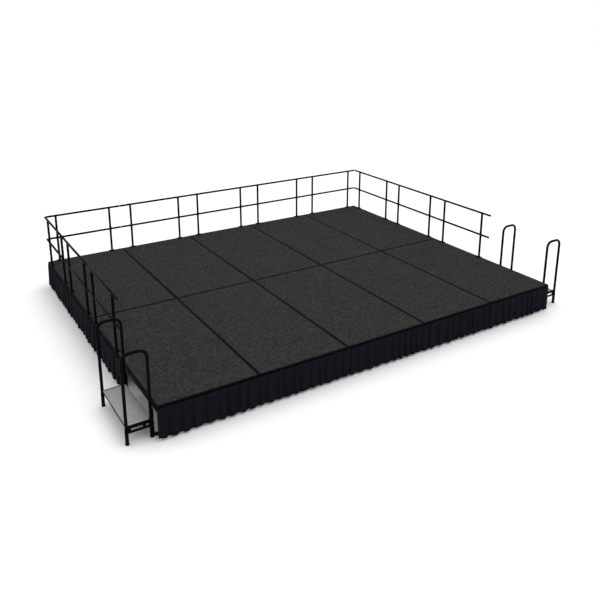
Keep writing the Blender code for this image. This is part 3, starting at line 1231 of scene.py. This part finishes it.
@dataclass
class LegFrame:
    """A folding leg frame: two square legs on a wide foot bar, a round hinge bar, and rubber shoes."""

    deck: str
    end: str
    tube: float = 0.032
    tube_edge: float = 0.0035
    spread: float = 0.532
    foot_reach: float = 0.605
    bar_reach: float = 0.570
    bar_radius: float = 0.016
    pin_radius: float = 0.008
    pin_reach: float = 0.590
    sole: float = 0.003
    shoe_length: float = 0.070
    shoe_inset: float = 0.012
    shoe_rise: float = 0.013
    shoe_wall: float = 0.0022
    washer_radius: float = 0.0135
    lug_radius: float = 0.019

    def __post_init__(self) -> None:
        """Takes the hinge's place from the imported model."""
        self.name = f"{self.deck}_{self.end}"
        self.node = f"leg_frame_{self.name}"
        self.body = f"leg_{self.name}"
        low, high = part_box(self.node)
        lug_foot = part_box(f"deck_frame_{self.deck}")[0].z
        self.hinge = Vector(((low.x + high.x) / 2, (low.y + high.y) / 2, lug_foot + self.lug_radius))

    def build(self) -> None:
        """Makes the leg frame's pieces."""
        self.build_tubes()
        self.build_shoes()
        self.build_hardware()

    def build_tubes(self) -> None:
        """The legs, foot bar, hinge bar and pins, with the welds between them."""
        x, y, top = self.hinge
        half = self.tube / 2
        outer, inner = self.spread, self.spread - self.tube
        foot_top = self.sole + self.tube - 0.003
        shape = Shape()
        for a, b in ((-outer, -inner), (inner, outer)):
            leg_low = (x + a, y - half, foot_top - 0.004)
            shape.block(leg_low, (x + b, y + half, top + 0.002), self.tube_edge, 3)
        foot = self.foot_reach - 0.002
        shape.block((x - foot, y - half, self.sole), (x + foot, y + half, foot_top), self.tube_edge, 3)
        for sign in (-1, 1):
            end = x + sign * (foot + 0.0015)
            plug = (x + sign * (foot - 0.010), end)
            low = (min(plug), y - half + 0.002, self.sole + 0.002)
            high = (max(plug), y + half - 0.002, foot_top - 0.002)
            shape.block(low, high, 0.0012, 2)
        shape.rod((x - self.bar_reach, y, top), (x + self.bar_reach, y, top), self.bar_radius, 24, 0.001)
        for sign in (-1, 1):
            start, end = x + sign * (self.bar_reach - 0.004), x + sign * self.pin_reach
            shape.rod((start, y, top), (end, y, top), self.pin_radius, 16, 0.0012)
        for a in (-outer, -inner, inner, outer):
            shape.ring((x + a, y, top), (1, 0, 0), self.bar_radius, 0.0022)
            shape.rod((x + a, y - half + 0.003, foot_top), (x + a, y + half - 0.003, foot_top), 0.0028, 8)
        dress(f"leg_tubes_{self.name}", shape.mesh("leg"), STEEL, self.body, [self.node])

    def build_shoes(self) -> None:
        """Rubber shoes that wrap the foot bar near its ends."""
        x, y, _ = self.hinge
        reach = self.tube / 2 + self.shoe_wall
        shape = Shape()
        for sign in (-1, 1):
            middle = x + sign * (self.foot_reach - self.shoe_inset - self.shoe_length / 2)
            half = self.shoe_length / 2
            shoe_low = (middle - half, y - reach, 0.0)
            shape.block(shoe_low, (middle + half, y + reach, self.shoe_rise), 0.0016, 2)
        dress(f"leg_shoes_{self.name}", shape.mesh("shoes"), RUBBER, self.body)

    def build_hardware(self) -> None:
        """A washer between the hinge bar and each lug, and a retaining ring on each pin."""
        x, y, z = self.hinge
        shape = Shape()
        for sign in (-1, 1):
            washer = (x + sign * (self.bar_reach + 0.004), y, z)
            shape.collar(washer, (1, 0, 0), self.pin_radius, self.washer_radius, 0.0075)
            clip = (x + sign * (self.pin_reach - 0.0035), y, z)
            shape.collar(clip, (1, 0, 0), self.pin_radius - 0.001, 0.0118, 0.0018)
        dress(f"hinge_washers_{self.name}", shape.mesh("washers"), ZINC, self.body)


# ---------------------------------------------------------------------------------------------
# Guard rails
# ---------------------------------------------------------------------------------------------


@dataclass
class GuardRail:
    """A guard rail section: two tubes on two posts, each post on a plate that hooks over the deck's edge."""

    node: str
    turn: float
    body: str
    rail_radius: float = 0.0160
    post_radius: float = 0.0175
    split: float = 0.015
    length: float = 1.2192
    spacing: float = 0.8580
    top_rail: float = 0.7505
    middle_rail: float = 0.3830
    edge_reach: float = 0.023
    plate_length: float = 0.090
    plate_thickness: float = 0.005
    plate_reach: float = 0.062
    lip_thickness: float = 0.004
    lip_gap: float = 0.001
    lip_drop: float = 0.020
    inset: float = 0.018
    corner_cut: float = 0.033
    corner: int = 0
    templates: dict[tuple[str, int], bpy.types.Mesh] = field(default_factory=dict)

    def __post_init__(self) -> None:
        """Takes the section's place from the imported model."""
        low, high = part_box(self.node)
        middle = (low + high) / 2
        self.deck_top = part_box("deck_board_front_1")[1].z
        outward = Matrix.Rotation(self.turn, 3, "Z") @ Vector((0.0, 1.0, 0.0))
        ends = zip(low, high, middle, outward)
        face = Vector(tuple(b if o > 0.5 else a if o < -0.5 else m for a, b, m, o in ends))
        face.x += self.corner_cut / 2 * self.corner
        foot = face - outward * self.edge_reach
        self.stand = Matrix.Translation((foot.x, foot.y, 0.0)) @ Matrix.Rotation(self.turn, 4, "Z")

    def build(self) -> None:
        """Makes the section's pieces, each from a template that the sections like it share."""
        named = (
            ("tubes", self.tubes, STEEL, [self.node]),
            ("plates", self.plates, STEEL, [self.node]),
            ("caps", self.caps, RUBBER, []),
            ("bolts", self.bolts, STEEL, []),
        )
        for part, make, finish, nodes in named:
            kind = (part, self.corner)
            if kind not in self.templates:
                self.templates[kind] = make()
            dress(f"{self.node}_{part}", set_down(self.templates[kind], self.stand), finish, self.body, nodes)

    def rail_ends(self) -> tuple[float, float]:
        """Where the rails start and end along X: cut short where a side's rails come by a corner.

        Returns:
            The first and last X.
        """
        half = (self.length - self.split) / 2
        return -half + self.corner_cut * (self.corner < 0), half - self.corner_cut * (self.corner > 0)

    def tubes(self) -> bpy.types.Mesh:
        """The rails and posts with the welds where they meet.

        Returns:
            The tubes' mesh.
        """
        left, right = self.rail_ends()
        shape = Shape()
        base = self.deck_top
        for height in (self.top_rail, self.middle_rail):
            z = base + height
            shape.rod((left + 0.002, 0.0, z), (right - 0.002, 0.0, z), self.rail_radius, 24, 0.001)
        for x in (-self.spacing / 2, self.spacing / 2):
            top = base + self.top_rail
            shape.rod((x, 0.0, base + 0.004), (x, 0.0, top - 0.013), self.post_radius, 24)
            shape.rod((x, 0.0, top - 0.013), (x, 0.0, top - 0.002), self.post_radius, 24, 0.0, 0.0150)
            middle = base + self.middle_rail
            for way in (-1, 1):
                at = (x + way * self.post_radius * 0.9, 0.0, middle)
                shape.ring(at, (1, 0, 0), self.rail_radius, 0.0019)
            shape.ring((x, 0.0, base + 0.0057), (0, 0, 1), self.post_radius, 0.0024)
        return shape.mesh("rail_tubes")

    def plates(self) -> bpy.types.Mesh:
        """The two clamp plates: a plate on the carpet with a lip down over the deck's edge.

        Returns:
            The plates' mesh.
        """
        shape = Shape()
        low = self.deck_top + 0.0003
        top = low + self.plate_thickness
        edge = self.inset + self.lip_gap
        half = self.plate_length / 2
        for x in (-self.spacing / 2, self.spacing / 2):
            plate_low = (x - half, edge - self.plate_reach, low)
            shape.block(plate_low, (x + half, edge + self.lip_thickness, top), 0.0013, 2)
            lip_low = (x - half, edge, self.deck_top - self.lip_drop)
            shape.block(lip_low, (x + half, edge + self.lip_thickness, top - 0.0004), 0.0012, 2)
        return shape.mesh("rail_plates")

    def caps(self) -> bpy.types.Mesh:
        """A moulded cap in each open end of the rails.

        Returns:
            The caps' mesh.
        """
        shape = Shape()
        for height in (self.top_rail, self.middle_rail):
            z = self.deck_top + height
            for way, at in zip((-1, 1), self.rail_ends()):
                start, end = (at - way * 0.004, 0.0, z), (at + way * 0.0022, 0.0, z)
                shape.rod(start, end, self.rail_radius + 0.0004, 20, 0.0018)
        return shape.mesh("rail_caps")

    def bolts(self) -> bpy.types.Mesh:
        """Two hexagon bolts through each plate.

        Returns:
            The bolts' mesh.
        """
        shape = Shape()
        top = self.deck_top + 0.0003 + self.plate_thickness
        for x in (-self.spacing / 2, self.spacing / 2):
            for way in (-1, 1):
                shape.bolt((x + way * 0.031, self.inset - 0.038, top), (0, 0, 1), 0.012)
        return shape.mesh("rail_bolts")


# ---------------------------------------------------------------------------------------------
# Steps
# ---------------------------------------------------------------------------------------------


@dataclass
class StepEnd:
    """One end of a step: a hoop handrail in two sleeves, a slotted plate, two ledges and a strut."""

    node: str
    body: str
    far: bool
    stage_side: int
    hoop_width: float = 0.268
    hoop_height: float = 1.030
    hoop_radius: float = 0.0175
    hoop_bend: float = 0.085
    sleeve_radius: float = 0.020
    sleeve_top: float = 0.172
    foot_height: float = 0.016
    cheek_low: float = 0.125
    cheek_top: float = 0.197
    cheek_thickness: float = 0.008
    cheek_edge: float = 0.0010
    slot_radius: float = 0.0135
    slot_height: float = 0.1655
    long_slot: tuple[float, float] = (-0.084, 0.046)
    short_slot: tuple[float, float] = (0.079, 0.106)
    ledges: tuple[tuple[float, float], ...] = ((-0.112, -0.087), (0.049, 0.076))
    ledge_reach: float = 0.036
    ledge_thickness: float = 0.0055
    strut_near: float = 0.146
    strut_far: float = 0.161
    strut_half_depth: float = 0.012
    strut_top: float = 0.330

    def __post_init__(self) -> None:
        """Takes the end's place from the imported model."""
        low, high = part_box(self.node)
        y = high.y - self.sleeve_radius if self.far else low.y + self.sleeve_radius
        turn = Matrix.Rotation(math.pi if self.far else 0.0, 4, "Z")
        tread_low, tread_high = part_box(self.node.split("_step_")[0] + "_step_tread")
        self.stand = Matrix.Translation(((tread_low.x + tread_high.x) / 2, y, 0.0)) @ turn
        self.ledge_top = tread_low.z - 0.0003

    def build(self) -> None:
        """Makes the end's pieces."""
        for part, mesh, finish, nodes in (
            ("hoop", self.hoop(), STEEL, [self.node]),
            ("base", self.base(), STEEL, [self.node]),
            ("cheek", self.cheek(), STEEL, [self.node]),
            ("strut", self.strut(), STEEL, [self.node]),
            ("feet", self.feet(), RUBBER, []),
            ("bolts", self.bolts(), STEEL, []),
        ):
            dress(f"{self.node}_{part}", set_down(mesh, self.stand), finish, self.body, nodes)

    def hoop(self) -> bpy.types.Mesh:
        """The handrail, one tube bent twice.

        Returns:
            The hoop's mesh.
        """
        half = self.hoop_width / 2
        start = (self.cheek_low + self.sleeve_top) / 2
        upright = Straight(self.hoop_height - self.hoop_bend - start)
        across = Straight(self.hoop_width - 2 * self.hoop_bend)
        route = (
            upright,
            Bend(self.hoop_bend, math.pi / 2, (1, 0, 0), 12),
            across,
            Bend(self.hoop_bend, math.pi / 2, (0, 0, -1), 12),
            upright,
        )
        shape = Shape().pipe((-half, 0.0, start), (0, 0, 1), self.hoop_radius, route, 24)
        return shape.mesh("hoop")

    def base(self) -> bpy.types.Mesh:
        """The sleeves and the ledges under the tread, with the welds of the cross plate.

        Returns:
            The base's mesh.
        """
        shape = Shape()
        half = self.hoop_width / 2
        depth = self.cheek_thickness / 2
        for x in (-half, half):
            foot = (x, 0.0, self.foot_height - 0.004)
            shape.rod(foot, (x, 0.0, self.sleeve_top), self.sleeve_radius, 28, 0.0016)
        for ends in self.ledges:
            start, end = sorted(self.stage_side * x for x in ends)
            low = (start, 0.0, self.ledge_top - self.ledge_thickness)
            shape.block(low, (end, depth + self.ledge_reach, self.ledge_top), 0.0012, 2)
        for sign in (-1, 1):
            at = sign * (half - self.sleeve_radius + 0.0024)
            for side in (-1, 1):
                low = (at, side * depth, self.cheek_low + 0.002)
                shape.rod(low, (at, side * depth, self.sleeve_top - 0.001), 0.0022, 8)
        return shape.mesh("step_base")

    def cheek(self) -> bpy.types.Mesh:
        """The cross plate: a long slot away from the stage and a short one towards it, their ends round.

        Returns:
            The plate's mesh.
        """
        half, depth = self.hoop_width / 2, self.cheek_thickness / 2
        shape = Shape()
        bm = shape.bm
        low, top = self.cheek_low, self.cheek_top
        corners = ((-half, low), (half, low), (half, top), (-half, top))
        rim = [bm.verts.new((x, -depth, z)) for x, z in corners]
        edges = [bm.edges.new((a, b)) for a, b in zip(rim, rim[1:] + rim[:1])]
        for ends in (self.long_slot, self.short_slot):
            start, end = sorted(self.stage_side * a for a in ends)
            edges += self.add_slot(bm, start + self.slot_radius, end - self.slot_radius, -depth)
        bmesh.ops.triangle_fill(bm, use_beauty=True, use_dissolve=False, edges=edges)
        grown = bmesh.ops.extrude_face_region(bm, geom=list(bm.faces))["geom"]
        lifted = [g for g in grown if isinstance(g, bmesh.types.BMVert)]
        bmesh.ops.translate(bm, verts=lifted, vec=(0.0, 2 * depth, 0.0))
        bmesh.ops.recalc_face_normals(bm, faces=bm.faces)
        bmesh.ops.dissolve_limit(bm, angle_limit=math.radians(1), verts=bm.verts, edges=bm.edges)
        sharp = [e for e in bm.edges if len(e.link_faces) == 2 and e.calc_face_angle() > math.radians(60)]
        shape.soften(sharp, self.cheek_edge, 2)
        return shape.mesh("step_cheek")

    def add_slot(self, bm: bmesh.types.BMesh, start: float, end: float, y: float) -> list[bmesh.types.BMEdge]:
        """Adds the outline of a slot, a circle pulled out into two half circles.

        Args:
            bm: The mesh to add to.
            start: The middle of its first round end.
            end: The middle of its last round end.
            y: The face it lies in.

        Returns:
            The outline's edges.
        """
        middle = (start + end) / 2
        flat = Matrix.Translation((middle, y, self.slot_height)) @ Matrix.Rotation(math.pi / 2, 4, "X")
        ring = bmesh.ops.create_circle(bm, segments=24, radius=self.slot_radius, matrix=flat)["verts"]
        edges = list({e for v in ring for e in v.link_edges})
        across = [v for v in ring if abs(v.co.x - middle) < 1e-6]
        pulled = Vector(((end - start) / 2, 0.0, 0.0))
        bmesh.ops.translate(bm, verts=[v for v in ring if v.co.x > middle + 1e-6], vec=pulled)
        bmesh.ops.translate(bm, verts=[v for v in ring if v.co.x < middle - 1e-6], vec=-pulled)
        for vert in across:
            vert.co.x = middle
        return edges

    def strut(self) -> bpy.types.Mesh:
        """The flat strut beside the stage-side leg, with the bolts that level it against the deck's frame.

        Returns:
            The strut's mesh.
        """
        side = self.stage_side
        near, far = side * self.strut_near, side * self.strut_far
        low_x, high_x = min(near, far), max(near, far)
        deep = self.strut_half_depth
        shape = Shape().block((low_x, -deep, 0.004), (high_x, deep, self.strut_top), 0.0018, 2)
        shape.block((low_x - 0.001, -deep - 0.001, 0.0), (high_x + 0.001, deep + 0.001, 0.012), 0.0012, 2)
        for height in (0.060, 0.150, 0.255):
            shape.bolt((far - side * 0.0004, 0.0, height), (side, 0, 0), 0.012)
        return shape.mesh("step_strut")

    def feet(self) -> bpy.types.Mesh:
        """A moulded rubber foot on each leg.

        Returns:
            The feet's mesh.
        """
        shape = Shape()
        for x in (-self.hoop_width / 2, self.hoop_width / 2):
            shape.rod((x, 0.0, 0.0), (x, 0.0, 0.006), self.sleeve_radius + 0.0030, 28, 0.0015)
            shape.rod((x, 0.0, 0.004), (x, 0.0, self.foot_height), self.sleeve_radius + 0.0015, 28, 0.0015)
        return shape.mesh("step_feet")

    def bolts(self) -> bpy.types.Mesh:
        """A bolt through each sleeve that holds the hoop.

        Returns:
            The bolts' mesh.
        """
        shape = Shape()
        for x in (-self.hoop_width / 2, self.hoop_width / 2):
            shape.bolt((x, -self.sleeve_radius + 0.001, 0.150), (0, -1, 0), 0.010)
        return shape.mesh("step_bolts")


@dataclass
class Step:
    """A free-standing step: a grey tread with a black moulding between two hooped ends."""

    side: Side
    lip: float = 0.0020
    wall: float = 0.0020
    under_lip: float = 0.010
    shoulder: float = 0.0014
    surface_depth: float = 0.0030

    def build(self) -> None:
        """Makes the tread and both ends."""
        body = f"{self.side.word}_step"
        self.build_tread(body)
        for end, far in (("near", False), ("far", True)):
            stage_side = self.side.value if far else -self.side.value
            node = f"{self.side.word}_step_end_frame_{end}"
            StepEnd(node, body, far, stage_side).build()

    def section(
        self, low: Vector, high: Vector, sign_x: int, sign_y: int
    ) -> list[tuple[float, float, float]]:
        """The tread moulding's section at a corner.

        Args:
            low: The tread's lowest corner.
            high: Its highest corner.
            sign_x: Which end in X.
            sign_y: Which end in Y.

        Returns:
            The section's corners in order.
        """
        corners = (
            (0.0, low.z + self.shoulder),
            (self.shoulder, low.z),
            (self.under_lip, low.z),
            (self.under_lip, low.z + 0.0014),
            (self.wall, low.z + 0.0014),
            (self.wall, high.z - 0.0012),
            (self.lip, high.z - 0.0004),
            (self.shoulder, high.z),
            (self.shoulder * 0.3, high.z - self.shoulder * 0.3),
            (0.0, high.z - self.shoulder),
        )
        x = high.x if sign_x > 0 else low.x
        y = high.y if sign_y > 0 else low.y
        return [(x - sign_x * inset, y - sign_y * inset, z) for inset, z in corners]

    def build_tread(self, body: str) -> None:
        """The tread's board, its grit surface and its moulding.

        Args:
            body: The body the step rides on.
        """
        word = self.side.word
        node = f"{word}_step_tread"
        low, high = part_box(node)
        inset = Vector((self.wall + 0.0002, self.wall + 0.0002, 0.0016))
        board_high = Vector((high.x - inset.x, high.y - inset.y, high.z - self.surface_depth - 0.0001))
        board = Shape().block(low + inset, board_high, 0.0008, 1).mesh("tread_board")
        dress(f"{word}_tread_board", board, PLYWOOD, body, [node])
        lip = Vector((self.lip + 0.0002, self.lip + 0.0002, 0.0))
        surface_low = Vector((low.x + lip.x, low.y + lip.y, high.z - self.surface_depth))
        surface = Shape().block(surface_low, high - lip, 0.0008, 2).mesh("tread_surface")
        dress(f"{word}_tread_surface", surface, TREAD, body, [node])
        turns = ((-1, -1), (1, -1), (1, 1), (-1, 1))
        moulding = Shape().loops([self.section(low, high, *turn) for turn in turns]).mesh("tread_trim")
        dress(f"{word}_tread_trim", moulding, TRIM, body, [node])


# ---------------------------------------------------------------------------------------------
# Skirt
# ---------------------------------------------------------------------------------------------


@dataclass(frozen=True)
class Pleat:
    """One pleat's own habits: no two hang quite alike."""

    start: float
    width: float
    open: float
    lean: float
    sway: float
    drop: float
    ripples: tuple[tuple[float, float, float], ...]

    def rippled(self, share: float) -> float:
        """How far the small ripples push the cloth out.

        Args:
            share: The way across the pleat, from -0.5 to 0.5.

        Returns:
            Metres.
        """
        window = 1.0 - (2.0 * share) ** 4
        waved = (size * math.sin(math.tau * (waves * share + turn)) for size, waves, turn in self.ripples)
        return window * sum(waved)


@dataclass
class SkirtRun:
    """A run of pleated skirt, sewn along its top to a loop tape that grips the edge of the decks."""

    node: str
    start: Vector
    end: Vector
    outward: Vector
    pleats: int
    top: float
    hem: float
    depth: float
    trims: Sequence[str]
    tape: float = 0.018
    tape_out: float = -0.0009
    tape_thickness: float = 0.0012
    thickness: float = 0.0008
    samples: int = 44
    rows: int = 13
    flare: float = 0.36
    top_depth: float = 0.45

    def build(self) -> None:
        """Makes the pleated cloth and the tape behind its top."""
        tape = self.build_tape()
        cloth = self.build_cloth()
        run = (self.end - self.start).length
        LOG.info("%s: %.3f m of run takes %.3f m of cloth", self.node, run, self.cloth_width)

    def spot(self, along: float, out: float, height: float) -> Vector:
        """A point of the run.

        Args:
            along: Metres from the start.
            out: Metres out from the decks' side of the run.
            height: Metres above the floor.

        Returns:
            The point in the frame.
        """
        way = (self.end - self.start).normalized()
        base = self.start + way * along + self.outward * out
        return Vector((base.x, base.y, height))

    def draw_pleats(self) -> list[Pleat]:
        """Draws every pleat's width and habits, from a seed that is the run's own name.

        Returns:
            The pleats, from the run's start to its end.
        """
        draw = random.Random(self.node)
        widths = [draw.uniform(0.65, 1.35) for _ in range(self.pleats)]
        scale = (self.end - self.start).length / sum(widths)
        made, at = [], 0.0
        for width in widths:
            creased = draw.uniform(0.20, 1.0)
            ripples = tuple(
                (creased * size * draw.uniform(0.4, 1.0), draw.uniform(low, high), draw.random())
                for size, low, high in ((0.0042, 1.5, 2.3), (0.0030, 2.6, 3.8), (0.0016, 4.4, 6.0))
            )
            habits = {
                "open": draw.uniform(0.52, 1.0),
                "lean": draw.uniform(-0.15, 0.15),
                "sway": draw.uniform(-0.08, 0.08),
                "drop": draw.uniform(-0.004, 0.004),
            }
            made.append(Pleat(start=at, width=width * scale, ripples=ripples, **habits))
            at += width * scale
        return made

    def hang(self, pleat: Pleat, share: float, fall: float) -> tuple[float, float]:
        """Where a pleat's cloth is in plan: pressed flat at its top, rounder and further out at its hem.

        Args:
            pleat: The pleat.
            share: The way across it, from -0.5 to 0.5.
            fall: The way down it, from 0 to 1.

        Returns:
            Metres along the run, and metres out from it.
        """
        relax = fall**0.65
        fold_back = 0.072 - 0.030 * relax
        crispness = 1.7 - 0.6 * relax
        rise = math.tanh(crispness * (math.cos(math.tau * share) + 0.25)) / math.tanh(crispness * 1.25)
        window = math.cos(math.pi * share) ** 2
        along = share + fold_back * math.sin(2 * math.tau * share)
        along += window * (pleat.lean * relax + pleat.sway * math.sin(math.pi * fall))
        full = self.depth - self.thickness
        reach = full * (self.top_depth + (1.0 - self.top_depth + self.flare * fall) * relax) * pleat.open
        out = reach * (0.5 + 0.5 * rise) + pleat.rippled(share) * (0.35 + 0.65 * relax)
        run = (self.end - self.start).length
        place = pleat.start + (0.5 + along) * pleat.width
        return min(max(place, 0.0), run), max(out, 0.0) + self.thickness

    def build_cloth(self) -> bpy.types.Object:
        """The pleated cloth.

        Returns:
            The piece.
        """
        pleats = self.draw_pleats()
        plan = [(pleat, k / self.samples - 0.5) for pleat in pleats for k in range(self.samples)]
        plan.append((pleats[-1], 0.5))
        bm = bmesh.new()
        first = [bm.verts.new((0.0, 0.0, 0.0)) for _ in plan]
        edges = [bm.edges.new((a, b)) for a, b in zip(first, first[1:])]
        rows = [first]
        for _ in range(self.rows - 1):
            grown = bmesh.ops.extrude_edge_only(bm, edges=edges)["geom"]
            below = {g for g in grown if isinstance(g, bmesh.types.BMVert)}
            beside = [[e.other_vert(v) for e in v.link_edges] for v in rows[-1]]
            rows.append([next(v for v in near if v in below) for near in beside])
            edges = [g for g in grown if isinstance(g, bmesh.types.BMEdge) and set(g.verts) <= below]
        length = self.top - self.hem
        for number, row in enumerate(rows):
            fall = number / (self.rows - 1)
            for vert, (pleat, share) in zip(row, plan):
                along, out = self.hang(pleat, share, fall)
                height = self.top - length * fall + pleat.drop * max(0.0, fall - 0.8) * 5
                vert.co = self.spot(along, out, height)
        reach = [0.0]
        for a, b in zip(rows[self.rows // 2], rows[self.rows // 2][1:]):
            flat = Vector((a.co.x - b.co.x, a.co.y - b.co.y))
            reach.append(reach[-1] + flat.length)
        self.cloth_width = reach[-1]
        where = {
            vert: (reach[k], length * (1.0 - number / (self.rows - 1)))
            for number, row in enumerate(rows)
            for k, vert in enumerate(row)
        }
        uv = bm.loops.layers.uv.new("cloth")
        for face in bm.faces:
            for loop in face.loops:
                loop[uv].uv = where[loop.vert]
        return self.finish_cloth(bm, f"{self.node}_pleats", [self.node], self.thickness)

    def finish_cloth(
        self, bm: bmesh.types.BMesh, name: str, nodes: Sequence[str], thickness: float
    ) -> bpy.types.Object:
        """Dresses a flat mesh as cloth and gives it its thickness.

        Args:
            bm: The mesh.
            name: The piece's name.
            nodes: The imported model's nodes that it replaces.
            thickness: The cloth's thickness.

        Returns:
            The piece.
        """
        bmesh.ops.recalc_face_normals(bm, faces=bm.faces)
        mesh = bpy.data.meshes.new(name)
        bm.to_mesh(mesh)
        bm.free()
        mesh.shade_smooth()
        piece = dress(name, mesh, CLOTH, "stage", nodes)
        thick = piece.modifiers.new("cloth_thickness", "SOLIDIFY")
        thick.thickness = thickness
        thick.offset = 0.0
        return piece

    def build_tape(self) -> bpy.types.Object:
        """The loop tape behind the pleats' tops.

        Returns:
            The piece.
        """
        run = (self.end - self.start).length
        way = (self.end - self.start).normalized()
        bm = bmesh.new()
        heights = (self.top, self.top - self.tape / 2, self.top - self.tape)
        verts = [bm.verts.new(self.spot(0.0, self.tape_out, z)) for z in heights]
        edges = [bm.edges.new((a, b)) for a, b in zip(verts, verts[1:])]
        steps = self.pleats * 2
        for _ in range(steps):
            grown = bmesh.ops.extrude_edge_only(bm, edges=edges)["geom"]
            moved = [g for g in grown if isinstance(g, bmesh.types.BMVert)]
            bmesh.ops.translate(bm, verts=moved, vec=way * (run / steps))
            edges = [g for g in grown if isinstance(g, bmesh.types.BMEdge) and set(g.verts) <= set(moved)]
        uv = bm.loops.layers.uv.new("cloth")
        for face in bm.faces:
            for loop in face.loops:
                loop[uv].uv = ((loop.vert.co - self.start).dot(way), loop.vert.co.z)
        return self.finish_cloth(bm, f"{self.node}_tape", [], self.tape_thickness)


@dataclass
class Skirt:
    """The skirt's three runs: the front, and each side from the back corner as far as the step."""

    pleats_per_deck: int = 10
    deck_width: float = 1.2192

    def build(self) -> None:
        """Makes the three runs."""
        for word, outward in (("front", (0, -1, 0)), ("left", (-1, 0, 0)), ("right", (1, 0, 0))):
            node = f"skirt_{word}"
            low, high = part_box(node)
            out = Vector(outward)
            if word == "front":
                start, end = Vector((low.x, high.y, 0.0)), Vector((high.x, high.y, 0.0))
                depth = high.y - low.y
                trims = [f"edge_trim_front_{i + 1}" for i in range(COLUMNS)]
            else:
                inner = high.x if word == "left" else low.x
                start, end = Vector((inner, low.y, 0.0)), Vector((inner, high.y, 0.0))
                depth = high.x - low.x
                column = 1 if word == "left" else COLUMNS
                trims = [f"edge_trim_{row}_{column}" for row in ROWS]
            pleats = round((end - start).length / self.deck_width * self.pleats_per_deck)
            SkirtRun(node, start, end, out, pleats, high.z, low.z, depth, trims).build()


# ---------------------------------------------------------------------------------------------
# Studio
# ---------------------------------------------------------------------------------------------


@dataclass(frozen=True)
class Studio:
    """A pale floor, soft light from all round and a high soft key, and the camera."""

    floor_size: float = 120.0
    floor_colour: str = "#f2f2f2"
    sky_strength: float = 1.0
    key_strength: float = 1.0
    key_angle: float = math.radians(60)
    key_from: tuple[float, float, float] = (0.45, 0.10, 1.0)
    eye: tuple[float, float, float] = (-5.0765, -8.4748, 4.4134)
    azimuth: float = math.radians(-31.95)
    elevation: float = math.radians(16.01)
    roll: float = math.radians(0.075)
    lens_mm: float = 41.10
    sensor_mm: float = 36.0
    shift_up: float = -0.1667

    def build(self) -> None:
        """Sets the floor, the light and the camera."""
        self.build_floor()
        self.build_light()
        self.build_camera()

    def build_floor(self) -> None:
        """A plain pale floor."""
        bm = bmesh.new()
        bmesh.ops.create_grid(bm, x_segments=1, y_segments=1, size=self.floor_size / 2)
        mesh = bpy.data.meshes.new("studio_floor")
        bm.to_mesh(mesh)
        bm.free()
        material = bpy.data.materials.new("pale_painted_floor")
        material.use_nodes = True
        shader = material.node_tree.nodes["Principled BSDF"]
        shader.inputs["Base Color"].default_value = linear(self.floor_colour)
        shader.inputs["Roughness"].default_value = 0.9
        shader.inputs["Specular IOR Level"].default_value = 0.0
        mesh.materials.append(material)
        floor = bpy.data.objects.new("studio_floor", mesh)
        bpy.context.scene.collection.objects.link(floor)

    def build_light(self) -> None:
        """An even white surround and one broad key from above."""
        world = bpy.data.worlds.new("white_studio")
        world.use_nodes = True
        surround = world.node_tree.nodes["Background"]
        surround.inputs["Color"].default_value = (1.0, 1.0, 1.0, 1.0)
        surround.inputs["Strength"].default_value = self.sky_strength
        bpy.context.scene.world = world
        lamp = bpy.data.lights.new("soft_key", "SUN")
        lamp.energy = self.key_strength
        lamp.angle = self.key_angle
        key = bpy.data.objects.new("soft_key", lamp)
        key.rotation_mode = "QUATERNION"
        key.rotation_quaternion = Vector(self.key_from).to_track_quat("Z", "Y")
        bpy.context.scene.collection.objects.link(key)

    def build_camera(self) -> None:
        """The camera at the front left, above head height."""
        lens = bpy.data.cameras.new("camera")
        lens.lens = self.lens_mm
        lens.sensor_width = self.sensor_mm
        lens.shift_y = self.shift_up
        lens.clip_end = 300.0
        camera = bpy.data.objects.new("camera", lens)
        azimuth, elevation = self.azimuth, self.elevation
        back = Vector(
            (
                math.sin(azimuth) * math.cos(elevation),
                -math.cos(azimuth) * math.cos(elevation),
                math.sin(elevation),
            )
        )
        turn = (-back).to_track_quat("-Z", "Y").to_matrix().to_4x4()
        camera.matrix_world = Matrix.Translation(self.eye) @ turn @ Matrix.Rotation(self.roll, 4, "Z")
        bpy.context.scene.collection.objects.link(camera)
        bpy.context.scene.camera = camera
        bpy.context.scene.view_settings.view_transform = "Standard"


def guard_rails() -> list[GuardRail]:
    """Every guard rail section, sharing one set of templates.

    Returns:
        The sections, the back ones first.
    """
    shared: dict[tuple[str, int], bpy.types.Mesh] = {}
    corners = {0: -1, COLUMNS - 1: 1}
    sections = [
        GuardRail(
            f"guard_rail_back_{i + 1}", 0.0, f"rail_back_{i + 1}", corner=corners.get(i, 0), templates=shared
        )
        for i in range(COLUMNS)
    ]
    for side in Side:
        turn = -side.value * math.pi / 2
        sections += [
            GuardRail(f"guard_rail_{side.word}_{i + 1}", turn, f"rail_{side.word}_{i + 1}", templates=shared)
            for i in range(3)
        ]
    return sections


def main() -> None:
    """Builds the set, the floor, the light and the camera."""
    logging.basicConfig(level=logging.INFO, format="%(name)s: %(message)s")
    Studio().build()
    for row in ROWS:
        for column in range(1, COLUMNS + 1):
            deck = Deck(row, column)
            deck.build()
            for end in LEG_ENDS:
                LegFrame(deck.name, end).build()
    for rail in guard_rails():
        rail.build()
    for side in Side:
        Step(side).build()
    Skirt().build()


if __name__ == "__main__":
    main()
